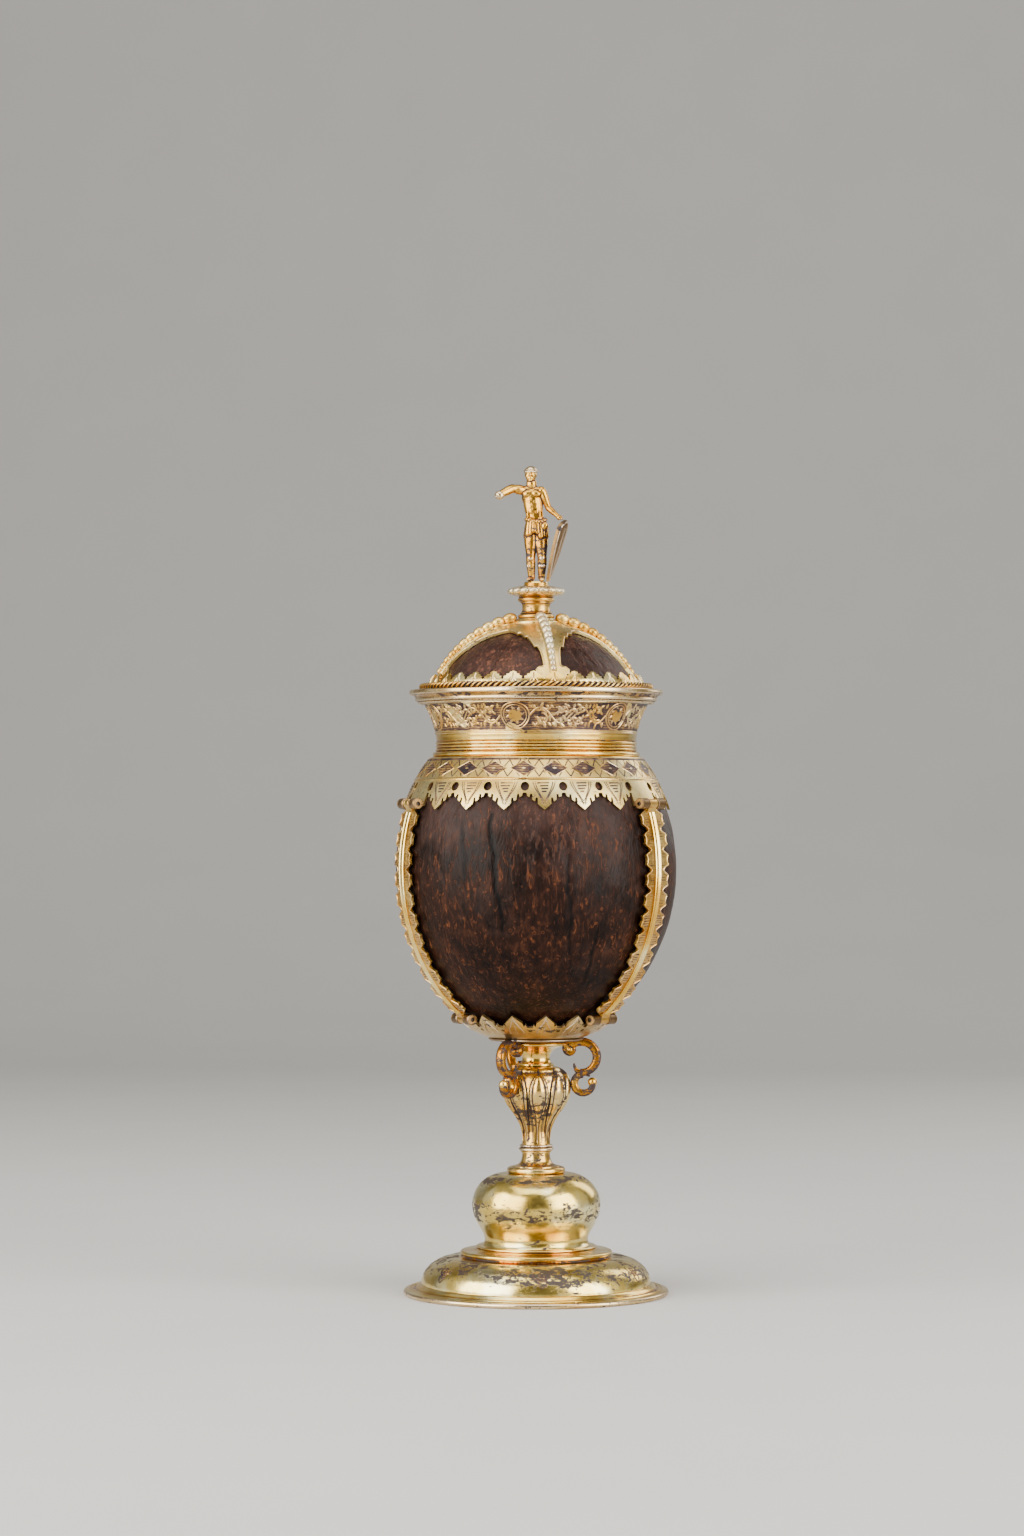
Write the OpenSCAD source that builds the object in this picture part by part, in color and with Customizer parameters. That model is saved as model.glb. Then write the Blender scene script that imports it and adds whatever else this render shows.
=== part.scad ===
// Covered standing cup: a polished coconut held by three hinged straps in silver-gilt mounts.
// Millimetres. +Z is up, the foot stands on z = 0, and the front of the cup faces -Y.
// Azimuths are counted from the front, towards +X.

/* [Foot] */
// Radius of the foot's flange
foot_r = 45; // [43:0.5:49]
// Height of the flange's rounded edge
foot_edge_h = 1.8; // [1.2:0.1:2.4]
// Height of the seat that the dome stands on
foot_seat_h = 3.6; // [3:0.1:5]
// Width of the flange inside the dome's outer face
foot_seat_w = 2.6; // [2:0.1:4]
// Least width of the flange outside the dome
flange_w = 4.6; // [3.6:0.2:5]
// Radius of the dome at its base
dome_r = 39; // [37.5:0.5:41]
// Height of the dome above its seat
dome_h = 9.1; // [7.5:0.1:12]
// Width of the dome's rounded shoulder
dome_shoulder = 11.4; // [10:0.1:12]
// Radius of the step ring on the dome
step_r = 25.8; // [24.5:0.1:26.5]
// Height of the step ring
step_h = 4.1; // [3.6:0.1:5.5]
// Radius of the bead round the step ring
step_bead_r = 0.75; // [0.6:0.05:0.9]
// Radius of the foot's waist
waist_r = 17.6; // [16.5:0.1:18.5]
// Greatest radius of the cushion
cushion_r = 21.8; // [20.5:0.1:23]
// Height of the cushion with its waist
cushion_h = 24.2; // [22:0.2:28]
// Radius of the cushion's flat top
cushion_top_r = 11; // [10.6:0.1:12]
// Thickness of the foot's sheet metal
foot_sheet = 1.2; // [0.9:0.1:1.5]

/* [Stem] */
// Radius of the spool's bead
spool_r = 9.9; // [9:0.1:10.5]
// Section radius of the spool's bead
spool_bead_r = 1.1; // [0.9:0.1:1.4]
// Height of the spool
spool_h = 7.4; // [6.5:0.1:9]
// Radius of the stem's thin necks
neck_r = 4.7; // [4.4:0.1:5]
// Radius of the plain ring above the spool
ring_r = 5.95; // [5.6:0.05:6.6]
// Height of the plain ring
ring_h = 2.4; // [2:0.1:3]
// Greatest radius of the lobed baluster
baluster_r = 11.9; // [11.4:0.1:12.4]
// Height of the baluster
baluster_h = 26.8; // [25:0.2:29]
// Number of lobes round the baluster
baluster_lobes = 9; // [9:1:11]
// Depth of the grooves between the lobes
groove_d = 1.4; // [1:0.1:1.8]
// Radius of the dish under the calyx
cap_r = 11.2; // [10.6:0.1:11.8]
// Height of the stem's cap
cap_h = 8.4; // [7.8:0.1:9.4]
// Radius of the threaded rod that ties the cup together
rod_r = 1.75; // [1.5:0.05:2]
// Clearance between the rod and the pieces that it passes through
rod_clear = 0.25; // [0.15:0.05:0.4]
// Length of rod below the cushion's top, for washer and nut
rod_tail = 8; // [7:0.5:12]
// Radius of the washer under the cushion's top
washer_r = 6; // [5:0.2:7]
// Thickness of the washers
washer_t = 1; // [0.8:0.1:1.4]
// Width across the corners of the square nuts
nut_across = 8.4; // [7.6:0.2:10]
// Height of the square nuts
nut_h = 3; // [2.4:0.1:3.6]

/* [Scroll brackets] */
// Distance of a bracket's large scroll outside the baluster
scroll_out = 3.6; // [3.2:0.1:4]
// Drop of a bracket's small scroll below the stem's cap
scroll_drop = 6.2; // [5.6:0.1:6.6]
// Radius of the ball that ends a bracket
scroll_ball_r = 1.25; // [1:0.05:1.5]
// Middle radius of a bracket's large scroll
scroll_big_r = 5.2; // [4.8:0.1:5.4]
// Middle radius of a bracket's small scroll
scroll_small_r = 3.2; // [2.9:0.1:3.4]
// Width of the scrolls' band
scroll_w = 1.9; // [1.5:0.1:2]
// Thickness of a bracket
scroll_t = 2.6; // [2:0.1:3.2]
// Gap between a bracket and the stem
scroll_gap = 0.1; // [0.05:0.05:0.3]

/* [Calyx] */
// Radius of the calyx at its leaf tips
calyx_r = 27.6; // [27.2:0.1:28]
// Height of the calyx
calyx_h = 9.4; // [9:0.1:9.8]
// Radius of the calyx's flat bottom
calyx_floor_r = 10; // [9.5:0.1:10.5]
// Number of the calyx's leaves between two hinges
calyx_leaves = 4; // [3:1:5]
// Depth of the cuts between the calyx's leaves
calyx_cut = 3; // [2.4:0.1:3.4]

/* [Nut] */
// Greatest radius of the nut
nut_r = 47.6; // [46.5:0.1:49]
// Depth of the nut below its greatest width
nut_low = 57.5; // [57:0.1:58.5]
// Height of the whole nut's curve above its greatest width
nut_up = 55; // [53:0.5:57]
// Height of the sawn mouth above the greatest width
mouth_up = 36.4; // [35:0.2:38]
// Wall of the nut
nut_wall = 3.6; // [2.8:0.1:4.4]
// Gap under the nut and over its mouth
nut_gap = 0.2; // [0.1:0.05:0.3]

/* [Straps and hinges] */
// Gap between the straps and the nut
strap_gap = 1; // [0.8:0.1:1.3]
// Thickness of the mounts' sheet metal
sheet = 0.9; // [0.7:0.05:1]
// Half width of a strap at the tips of its scallops
strap_w = 6.4; // [5.6:0.1:6.8]
// Half width of a strap in the notches
strap_notch_w = 4.2; // [3.6:0.1:4.6]
// Number of scallops along a strap
strap_scallops = 11; // [9:1:12]
// Width of the reeded rib on a strap
rib_w = 3; // [2.6:0.1:3.6]
// Height of the rib
rib_h = 1; // [0.7:0.1:1.1]
// Distance of the upper hinges above the nut's greatest width
hinge_up = 21.7; // [21:0.1:22.4]
// Distance of the upper hinges' axes outside the band's tabs
hinge_out = 1.8; // [1.7:0.05:2]
// Height of the lower hinges' axes above the calyx's bottom
low_hinge_up = 7.8; // [7.6:0.1:8]
// Radius of the lower hinges' axes from the cup's axis
low_hinge_r = 26.8; // [26.6:0.1:27]
// Radius of the hinge barrels
barrel_r = 1.6; // [1.5:0.05:1.7]
// Length of a hinge, over its three knuckles
barrel_l = 14; // [13:0.2:15]
// Width of the middle knuckle
middle_l = 4.4; // [4:0.1:4.8]
// Gap at the ends of the middle knuckle
knuckle_gap = 0.2; // [0.15:0.05:0.3]
// Radius of the hinge pins
pin_r = 0.7; // [0.6:0.05:0.8]
// Radial clearance of the pins
pin_clear = 0.05; // [0.03:0.01:0.08]
// Radial clearance of the lower pins in the straps' open knuckles
open_clear = 0.15; // [0.1:0.05:0.25]
// Clearance round the middle knuckles
knuckle_clear = 0.4; // [0.3:0.05:0.6]
// Depth of the shoulder's hinge tabs below the hinges' axes
tab_low = 0.8; // [0.7:0.05:1]
// Distance of a strap's plate below its upper knuckle
strap_end_gap = 0.6; // [0.4:0.1:0.8]
// Distance of a strap's plate above its lower knuckle
strap_foot_gap = 1; // [0.8:0.1:1.4]
// Depth of the pins' ends inside the barrels
pin_recess = 0.7; // [0.4:0.1:1.2]

/* [Shoulder and lip] */
// Number of the shoulder's leaves between two hinges
shoulder_leaves = 6; // [5:1:7]
// Height of the leaf tips above the nut's greatest width
leaf_tip_up = 19.7; // [19.2:0.1:20.4]
// Height of a leaf, from the cut's top to the tip
leaf_h = 4.8; // [4.2:0.1:5.4]
// Radius of the pierced holes over the cuts
pierced_r = 1.2; // [1:0.05:1.4]
// Height of the pierced holes over the cuts
pierced_up = 2.9; // [2.6:0.1:3.2]
// Gap between the shoulder band and the nut
band_gap = 0.15; // [0.1:0.05:0.3]
// Outer radius of the reeded neck
reed_r = 34.2; // [33.8:0.1:34.6]
// Height of the reeded neck
reed_h = 7.7; // [7:0.1:9]
// Number of reeds
reeds = 4; // [3:1:5]
// Depth of the grooves between the reeds
reed_d = 0.8; // [0.5:0.1:1.1]
// Wall of the neck behind the grooves
reed_wall = 1.2; // [1:0.1:1.5]
// Outer radius of the lip at its top
lip_r = 38.6; // [38.2:0.1:39]
// Height of the lip
lip_h = 11.1; // [10:0.1:13]

/* [Lid] */
// Gap between the lid's rim and the lip
lid_gap = 0.2; // [0.15:0.05:0.3]
// Greatest radius of the lid's rim
rim_r = 43.1; // [42.6:0.1:44]
// Height of the rim above the lip
rim_h = 3.8; // [3.4:0.1:4.6]
// Drop of the rim's edge outside the lip
rim_drop = 0.6; // [0.4:0.1:0.9]
// Thickness of the rim's flat plate
plate_t = 1.2; // [1:0.1:1.5]
// Width of the plate inside the bezel
plate_w = 2; // [1.4:0.1:2.6]
// Clearance between the rim's edge and the lip
rim_clear = 0.6; // [0.4:0.1:0.8]
// Depth that the bezel reaches into the lip
bezel_h = 5; // [4:0.2:6]
// Clearance between the bezel and the lip
bezel_clear = 0.6; // [0.4:0.05:0.9]
// Radius of the rope round the lid
rope_r = 38.7; // [38.4:0.1:39.6]
// Diameter of the rope
rope_d = 2.2; // [1.8:0.1:2.4]
// Radius of the lid's nut dome at its base
lid_dome_r = 34.3; // [33.9:0.1:34.6]
// Height of the lid's nut dome
lid_dome_h = 22.2; // [21:0.2:24]
// Number of leaves round the lid's fringe
fringe_parts = 32; // [24:4:36]
// Radius of the fringe at its base
fringe_r = 36.9; // [36.7:0.05:37.1]
// Least gap between the fringe and the lid's dome
fringe_gap = 1.2; // [0.8:0.1:1.6]
// Height of the fringe
fringe_h = 5.5; // [4.5:0.1:6.5]
// Depth of the cuts between the fringe's leaves
fringe_cut = 3; // [2.4:0.1:3.4]
// Turn of the lid's straps from the front
lid_turn = 15; // [0:1:89]
// Gap between the crown and the dome
crown_gap = 0.3; // [0.2:0.05:0.5]
// Radius of the crown's middle
crown_hub_r = 11; // [10:0.2:13]
// Half width of a crown arm at its foot
crown_arm_w = 3.2; // [2.8:0.1:3.8]
// Number of beads on a strap
beads = 11; // [8:1:12]
// Radius of the topmost bead
bead_r = 2.25; // [2:0.05:2.4]
// Size of each bead as a share of the one above
bead_step = 0.93; // [0.9:0.01:0.94]

/* [Finial] */
// Radius of the flat boss under the finial
boss_r = 6.6; // [6.3:0.1:7.4]
// Rise of the boss over the crown
boss_h = 0.9; // [0.7:0.1:1.4]
// Radius of the finial's spool at its ends
finial_r = 6.2; // [5.8:0.1:6.2]
// Height of the finial's spool
finial_h = 7.6; // [7:0.1:9]
// Radius of the gadrooned disc
disc_r = 9.9; // [9.4:0.1:10.6]
// Height of the gadrooned disc
disc_h = 3.5; // [3.2:0.1:3.8]
// Number of gadroons
gadroons = 16; // [16:2:18]
// Radius of one gadroon
gadroon_r = 1.68; // [1.62:0.02:1.72]
// Radius of the plinth under the figure
plinth_r = 4.4; // [4.2:0.1:5]
// Height of the plinth
plinth_h = 1.5; // [1.2:0.1:2]
// Height of the figure
figure_h = 39.7; // [36:0.2:44]
// Radius of the bolt that holds the finial
bolt_r = 1.4; // [1.2:0.05:1.6]
// Length of bolt inside the lid
bolt_tail = 6; // [5.5:0.5:8]
// Radius of the washer inside the lid
lid_washer_r = 5; // [4.6:0.2:6]

/* [Hidden] */
$fn = 72;
HULL_FN = 16;
EPS = 0.01;
STEPS = 14;
CUT = 8;
SIDES = 3;
LID_STRAPS = 4;

gold = "#d8a83f";
pale_gold = "#e6c978";
deep_gold = "#b98224";
silver = "#cfc6ae";
nut_brown = "#3b2820";
lid_brown = "#5b3222";
iron = "#6d675e";

// Turns of the pieces round the cup's axis
STRAP_TURN = 60;
STRAP_SLICE = 20;
BRACKET_TURN = 90;
LOBE_TURN = 90;

// Levels, from the foot up
z_dome = foot_seat_h;
z_step = z_dome + dome_h;
z_cushion = z_step + step_h;
z_spool = z_cushion + cushion_h;
z_ring = z_spool + spool_h;
z_baluster = z_ring + ring_h;
z_cap = z_baluster + baluster_h;
z_calyx = z_cap + cap_h;
z_nut = z_calyx + sheet + nut_gap + nut_low;
z_mouth = z_nut + mouth_up;
z_reeds = z_mouth + nut_gap + sheet;
z_lip = z_reeds + reed_h;
z_lip_top = z_lip + lip_h;
z_lid = z_lip_top + lid_gap;
z_plate = z_lid + rim_h;
z_dome_top = z_plate + lid_dome_h;
z_hinge = z_nut + hinge_up;
z_low_hinge = z_calyx + low_hinge_up;
z_leaf_tip = z_nut + leaf_tip_up;
z_leaf_cut = z_leaf_tip + leaf_h;

// Radius of the foot's edge
foot_edge_r = max(foot_r, dome_r + flange_w);

// The lid's dome is part of a ball, and stands inside the fringe
dome_base_r = min(lid_dome_r, fringe_r - sheet - fringe_gap);
ball_r = (dome_base_r * dome_base_r + lid_dome_h * lid_dome_h) / (2 * lid_dome_h);
z_ball = z_dome_top - ball_r;
crown_in = ball_r + crown_gap;
crown_out = crown_in + sheet;
z_boss = z_ball + crown_out + boss_h;
z_disc = z_boss + finial_h;
z_plinth = z_disc + disc_h;
z_figure = z_plinth + plinth_h;

rod_hole = rod_r + rod_clear;
bolt_hole = bolt_r + rod_clear;
hinge_r = nut_radius(z_hinge, band_gap + sheet) + hinge_out;
pin_l = barrel_l - 2 * pin_recess;
bore_r = pin_r + pin_clear;
reed_in = reed_r - reed_d - reed_wall;
lip_foot_r = reed_r;
bezel_r = lip_radius(z_lip_top - bezel_h) - sheet - bezel_clear;
plate_in = bezel_r - sheet - plate_w;
lid_in_r = ball_r - nut_wall;

// Strap ends, on the nut's curve
z_strap_top = z_hinge - barrel_r - strap_end_gap;
z_strap_low = z_low_hinge + barrel_r + strap_foot_gap;

// A name for each of n like pieces
function numbered(name, n) = [for (i = [1:n]) str(name, "_", i)];

// Points along an ellipse about c, from angle a0 to a1
function arc(c, rx, ry, a0, a1, n = STEPS) =
    [for (i = [0:n]) let (a = a0 + (a1 - a0) * i / n) [c.x + rx * cos(a), c.y + ry * sin(a)]];

// Points along a cubic curve with two control points
function curve(p, q, r, s, n = STEPS) =
    [for (i = [0:n]) let (t = i / n, u = 1 - t)
        u * u * u * p + 3 * u * u * t * q + 3 * u * t * t * r + t * t * t * s];

function reversed(v) = [for (i = [len(v) - 1:-1:0]) v[i]];

// The direction of a line of points at point i, turned left
function left_of(p, i) =
    let (a = p[max(i - 1, 0)], b = p[min(i + 1, len(p) - 1)], t = (b - a) / norm(b - a)) [-t.y, t.x];

// A line of points moved to its left by d
function beside(p, d) = [for (i = [0:len(p) - 1]) p[i] + d * left_of(p, i)];

// Outline of a sheet of thickness t to the left of a line, with ends cut level with the line's
function sheet_of(p, t) =
    let (heights = [for (q = p) q.y], low = min(heights), high = max(heights))
    concat(p, reversed([for (q = beside(p, t)) [q.x, max(low, min(high, q.y))]]));

// Outline of a band along a line, whose width runs from w0 to w1
function band(p, w0, w1) =
    let (n = len(p) - 1)
    concat(
        [for (i = [0:n]) p[i] - (w0 + (w1 - w0) * i / n) / 2 * left_of(p, i)],
        [for (i = [n:-1:0]) p[i] + (w0 + (w1 - w0) * i / n) / 2 * left_of(p, i)]);

// Radius at height z of the nut's curve, grown by off
function nut_reach(h, off) = (h < 0 ? nut_low : nut_up) + off;
function nut_radius(z, off = 0) =
    let (h = z - z_nut, b = nut_reach(h, off)) (nut_r + off) * sqrt(max(0, 1 - h * h / (b * b)));

// The nut's curve grown by off, from height z0 up to z1
function nut_angle(z, off) =
    let (h = z - z_nut) asin(max(-1, min(1, h / nut_reach(h, off))));
function nut_line(off, z0, z1, n) =
    let (a0 = nut_angle(z0, off), a1 = nut_angle(z1, off))
    [for (i = [0:n]) let (a = a0 + (a1 - a0) * i / n)
        [(nut_r + off) * cos(a), z_nut + nut_reach(a, off) * sin(a)]];

// The lip's outer line, and its radius at height z
function lip_line() = curve([lip_foot_r, z_lip], [lip_foot_r + 0.4, z_lip + lip_h * 0.4],
    [lip_r - 2, z_lip + lip_h * 0.75], [lip_r, z_lip_top]);
function lip_radius(z) = lookup(z, [for (p = lip_line()) [p.y, p.x]]);

// Turns children so that +X points outward at an azimuth
module at(azimuth) {
    rotate([0, 0, azimuth - 90]) children();
}

// Draws children at each strap in turn
module at_straps() {
    for (i = [0:SIDES - 1]) at(STRAP_TURN + i * 360 / SIDES) children();
}

module lathe(outline) {
    rotate_extrude() polygon(outline);
}

// A slice of a lathed shape, half wide on each side of +X
module lathe_slice(outline, half) {
    rotate([0, 0, -half]) rotate_extrude(angle = 2 * half) polygon(outline);
}

// Extrudes an outline of (sideways, up) points outward along +X
module outward(x0, x1) {
    translate([x0, 0, 0]) rotate([90, 0, 90]) linear_extrude(x1 - x0) children();
}

// Extrudes an outline of (outward, up) points sideways, centred on the XZ plane
module sideways(w) {
    rotate([90, 0, 0]) linear_extrude(w, center = true) children();
}

// A cylinder along Y at an outward and an upward place
module cross_cylinder(x, z, r, l) {
    translate([x, 0, z]) rotate([90, 0, 0]) cylinder(h = l, r = r, center = true);
}

// Foot

module foot_rim() {
    edge = foot_edge_h / 2;
    color(gold)
    lathe(concat(
        [[dome_r - foot_seat_w, 0]],
        arc([foot_edge_r - edge, edge], edge, edge, -90, 90, 8),
        curve([foot_edge_r - 1.4 * edge, foot_edge_h], [foot_edge_r - 2.4, foot_edge_h + 0.1],
            [dome_r + 2, foot_seat_h - 0.3], [dome_r + 0.6, foot_seat_h], 6),
        [[dome_r - foot_seat_w, foot_seat_h]]));
}

module foot_dome() {
    color(gold)
    lathe(sheet_of(concat(
        arc([dome_r - dome_shoulder, z_dome], dome_shoulder, dome_h, 0, 90),
        [[waist_r - 2, z_step]]), foot_sheet));
}

module foot_step() {
    bead = [step_r - step_bead_r, z_step + 2 * step_bead_r];
    color(deep_gold)
    lathe(concat(
        [[waist_r - 2, z_step]],
        curve([step_r + 0.6, z_step], [step_r - 0.2, z_step + 0.1],
            [step_r - step_bead_r, z_step + 0.2], [bead.x, bead.y - step_bead_r], 5),
        arc(bead, step_bead_r, step_bead_r, -80, 70, 8),
        [[waist_r + 0.8, z_cushion], [waist_r - 2, z_cushion]]));
}

module foot_cushion() {
    z_wide = z_cushion + 0.555 * cushion_h;
    color(gold)
    lathe(sheet_of(concat(
        curve([waist_r + 0.7, z_cushion], [waist_r - 2.2, z_cushion + 0.15 * cushion_h],
            [cushion_r, z_cushion + 0.27 * cushion_h], [cushion_r, z_wide]),
        arc([cushion_top_r, z_wide], cushion_r - cushion_top_r, z_spool - z_wide, 6, 90),
        [[rod_hole, z_spool]]), foot_sheet));
}

// Stem

module stem_spool() {
    bead = [spool_r - spool_bead_r, z_spool + spool_bead_r];
    z_bead = z_spool + 2 * spool_bead_r;
    color(gold)
    lathe(concat(
        [[rod_hole, z_spool]],
        arc(bead, spool_bead_r, spool_bead_r, -90, 90),
        curve([bead.x - 0.3, z_bead], [neck_r + 1, z_bead + 0.2], [neck_r, z_bead + 1.6], [neck_r, z_ring]),
        [[rod_hole, z_ring]]));
}

module stem_ring() {
    color(silver)
    lathe(concat(
        [[rod_hole, z_ring]],
        arc([neck_r, z_ring + ring_h / 2], ring_r - neck_r, ring_h / 2, -90, 90),
        [[rod_hole, z_baluster]]));
}

// Height of the baluster's widest place
function baluster_wide() = z_baluster + 0.7 * baluster_h;

// The baluster's side, out to its widest place and in over its shoulder
function baluster_line() = concat(
    curve([neck_r + 0.1, z_baluster], [neck_r - 0.2, z_baluster + 0.4 * baluster_h],
        [baluster_r, z_baluster + 0.42 * baluster_h], [baluster_r, baluster_wide()], 10),
    curve([baluster_r - 0.1, baluster_wide() + 0.8], [baluster_r - 0.2, z_cap - 2],
        [neck_r + 4, z_cap - 0.8], [neck_r + 0.6, z_cap], 8));

// A groove between two lobes, cut by a rod that leans along the baluster's side
module groove() {
    r = 1.5 * baluster_r / baluster_lobes;
    low = [neck_r + r + 0.3, z_baluster + 0.1 * baluster_h];
    wide = [baluster_r + r - groove_d, baluster_wide()];
    translate([low.x, 0, low.y])
        rotate([0, atan2(wide.x - low.x, wide.y - low.y), 0])
            cylinder(h = 1.6 * norm(wide - low), r = r);
}

module stem_baluster() {
    color(gold)
    difference() {
        lathe(concat([[rod_hole, z_baluster]], baluster_line(), [[rod_hole, z_cap]]));
        for (i = [0:baluster_lobes - 1])
            at(LOBE_TURN + (i + 0.5) * 360 / baluster_lobes) groove();
    }
}

function cap_line() = concat(
    curve([neck_r + 0.7, z_cap], [neck_r, z_cap + 0.8], [neck_r - 0.2, z_cap + 2.2],
        [neck_r + 0.2, z_cap + 0.45 * cap_h], 8),
    curve([neck_r + 0.5, z_cap + 0.5 * cap_h], [neck_r + 1, z_cap + 0.65 * cap_h],
        [cap_r - 4, z_cap + 0.7 * cap_h], [cap_r - 2, z_cap + 0.78 * cap_h], 8),
    curve([cap_r - 1.7, z_cap + 0.82 * cap_h], [cap_r - 1, z_cap + 0.84 * cap_h],
        [cap_r, z_cap + 0.9 * cap_h], [cap_r, z_calyx], 6));

module stem_cap() {
    color(gold) lathe(concat([[rod_hole, z_cap]], cap_line(), [[rod_hole, z_calyx]]));
}

module stem_rod() {
    foot = z_spool - foot_sheet - rod_tail;
    color(iron) translate([0, 0, foot]) cylinder(h = z_calyx - foot, r = rod_r);
}

// A washer whose upper face is at height z
module washer(z, r, hole) {
    translate([0, 0, z - washer_t])
        difference() {
            cylinder(h = washer_t, r = r);
            translate([0, 0, -1]) cylinder(h = washer_t + 2, r = hole);
        }
}

// A square nut whose upper face is at height z
module square_nut(z, hole) {
    translate([0, 0, z - nut_h])
        difference() {
            cylinder(h = nut_h, r = nut_across / 2, $fn = 4);
            translate([0, 0, -1]) cylinder(h = nut_h + 2, r = hole);
        }
}

module stem_washer() {
    color(iron) washer(z_spool - foot_sheet, washer_r, rod_hole);
}

module stem_nut() {
    color(iron) square_nut(z_spool - foot_sheet - washer_t, rod_r + EPS);
}

// Scroll brackets

module scroll_bracket(i) {
    big = [baluster_r + scroll_out, z_calyx - scroll_big_r - scroll_w / 2 + 0.6];
    small = [baluster_r + scroll_small_r + scroll_w / 2 + scroll_gap, z_cap - scroll_drop];
    curl = [big.x - 0.72 * scroll_big_r, big.y + 0.56 * scroll_big_r];
    ball = [small.x + scroll_small_r + 0.3, small.y + 0.2];
    foot = [big.x + 0.3, big.y - scroll_big_r];
    link = [foot + [0, 0.4], small + [0.2, scroll_small_r - 0.4]];
    color(gold)
    at(BRACKET_TURN + (i - 1) * 360 / SIDES)
        difference() {
            sideways(scroll_t) {
                polygon(band(arc(big, scroll_big_r, scroll_big_r, 150, -92, 24), scroll_w * 0.8, scroll_w));
                polygon(band(arc(curl, 1.5, 1.4, 30, -250, 14), scroll_w * 0.7, scroll_w * 0.5));
                polygon(band(curve(foot, foot + [-1.2, -0.3], foot + [-2.4, 0.8], foot + [-2.8, 3], 8),
                    scroll_w * 0.9, 0.3));
                polygon(band(link, scroll_w, scroll_w));
                polygon(band(arc(small, scroll_small_r, scroll_small_r, 100, 372, 20),
                    scroll_w, scroll_w * 0.6));
                translate(ball) circle(r = scroll_ball_r);
            }
            lathe(concat([[0, z_cap]], beside(cap_line(), -scroll_gap), [[0, z_calyx]]));
            translate([0, 0, z_baluster]) cylinder(h = baluster_h, r = baluster_r + scroll_gap);
            lathe(concat([[0, z_calyx + calyx_h]], reversed(beside(calyx_line(), -scroll_gap)),
                [[0, z_calyx - scroll_gap]], [[0, z_calyx]]));
        }
}

// Calyx

function calyx_line() = concat(
    [[calyx_floor_r - 1, z_calyx]],
    curve([calyx_floor_r, z_calyx], [calyx_floor_r + 8, z_calyx + 0.6],
        [calyx_r - 3.1, z_calyx + 0.46 * calyx_h], [calyx_r, z_calyx + calyx_h], 12));

// A cut between two leaves, with stepped sides, as an outline of (sideways, up) points
function leaf_cut(half, cut_h, z_cut, sign) = [
    [0, z_cut],
    [0.22 * half, z_cut + sign * 0.12 * cut_h],
    [0.3 * half, z_cut + sign * 0.42 * cut_h],
    [0.52 * half, z_cut + sign * 0.5 * cut_h],
    [0.6 * half, z_cut + sign * 0.74 * cut_h],
    [half, z_cut + sign * cut_h],
    [half, z_cut + sign * (cut_h + 2)]];

module leaf_cutter(r, half, cut_h, z_cut, sign) {
    side = leaf_cut(half, cut_h, z_cut, sign);
    outward(r - CUT, r + CUT) polygon(concat(side, [for (p = reversed(side)) if (p.x > 0) [-p.x, p.y]]));
}

// A cut with a leaf on one side only, and a plain tab on the other
module tab_cutter(r, half, cut_h, z_cut, sign, side) {
    edge = leaf_cut(half, cut_h, z_cut, sign);
    slit = [[-knuckle_clear, z_cut + sign * (cut_h + 2)], [-knuckle_clear, z_cut]];
    outward(r - CUT, r + CUT)
        polygon([for (p = concat(edge, slit)) [side * p.x, p.y]]);
}

// The two outer knuckles of a hinge
module outer_knuckles(x, z) {
    half = middle_l / 2 + knuckle_gap;
    for (side = [-1, 1])
        translate([0, side * (half + barrel_l / 2) / 2, 0])
            cross_cylinder(x, z, barrel_r, barrel_l / 2 - half);
}

// The pin's bore through a hinge, and the room for its middle knuckle
module hinge_bores(x, z) {
    cross_cylinder(x, z, bore_r, barrel_l + 2);
    cross_cylinder(x, z, barrel_r + knuckle_clear, middle_l + 2 * knuckle_gap);
}

module calyx() {
    parts = SIDES * (calyx_leaves + 1);
    pitch = 360 / parts;
    z_cut = z_calyx + calyx_h - calyx_cut;
    half = calyx_r * tan(pitch / 2);
    slot_w = middle_l + 2 * knuckle_gap;
    slot_low = barrel_r + knuckle_clear;
    color(pale_gold)
    difference() {
        union() {
            difference() {
                lathe(concat([[0, z_calyx]], calyx_line(), reversed(beside(calyx_line(), sheet)),
                    [[0, z_calyx + sheet]]));
                for (i = [0:parts - 1])
                    at(STRAP_TURN + (i + 0.5) * pitch) leaf_cutter(calyx_r, half, calyx_cut, z_cut, 1);
                at_straps()
                    translate([low_hinge_r - CUT, -half, z_low_hinge]) cube([2 * CUT, 2 * half, calyx_h]);
            }
            at_straps() outer_knuckles(low_hinge_r, z_low_hinge);
        }
        at_straps() {
            hinge_bores(low_hinge_r, z_low_hinge);
            translate([low_hinge_r, -slot_w / 2, z_low_hinge - slot_low]) cube([CUT, slot_w, calyx_h]);
        }
    }
}

// Nut

module coconut_bowl() {
    z_floor = z_nut - nut_low;
    color(nut_brown)
    lathe(concat(
        nut_line(0, z_floor, z_mouth, 36),
        reversed(nut_line(-nut_wall, z_floor + nut_wall, z_mouth, 36))));
}

// Shoulder band, neck and lip

module shoulder_shell() {
    z_top = z_mouth + nut_gap;
    lathe(concat(
        nut_line(band_gap + sheet, z_leaf_tip, z_top + sheet, 12),
        [[reed_in, z_top + sheet], [reed_in, z_top]],
        reversed(nut_line(band_gap, z_leaf_tip, z_top, 12))));
}

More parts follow.
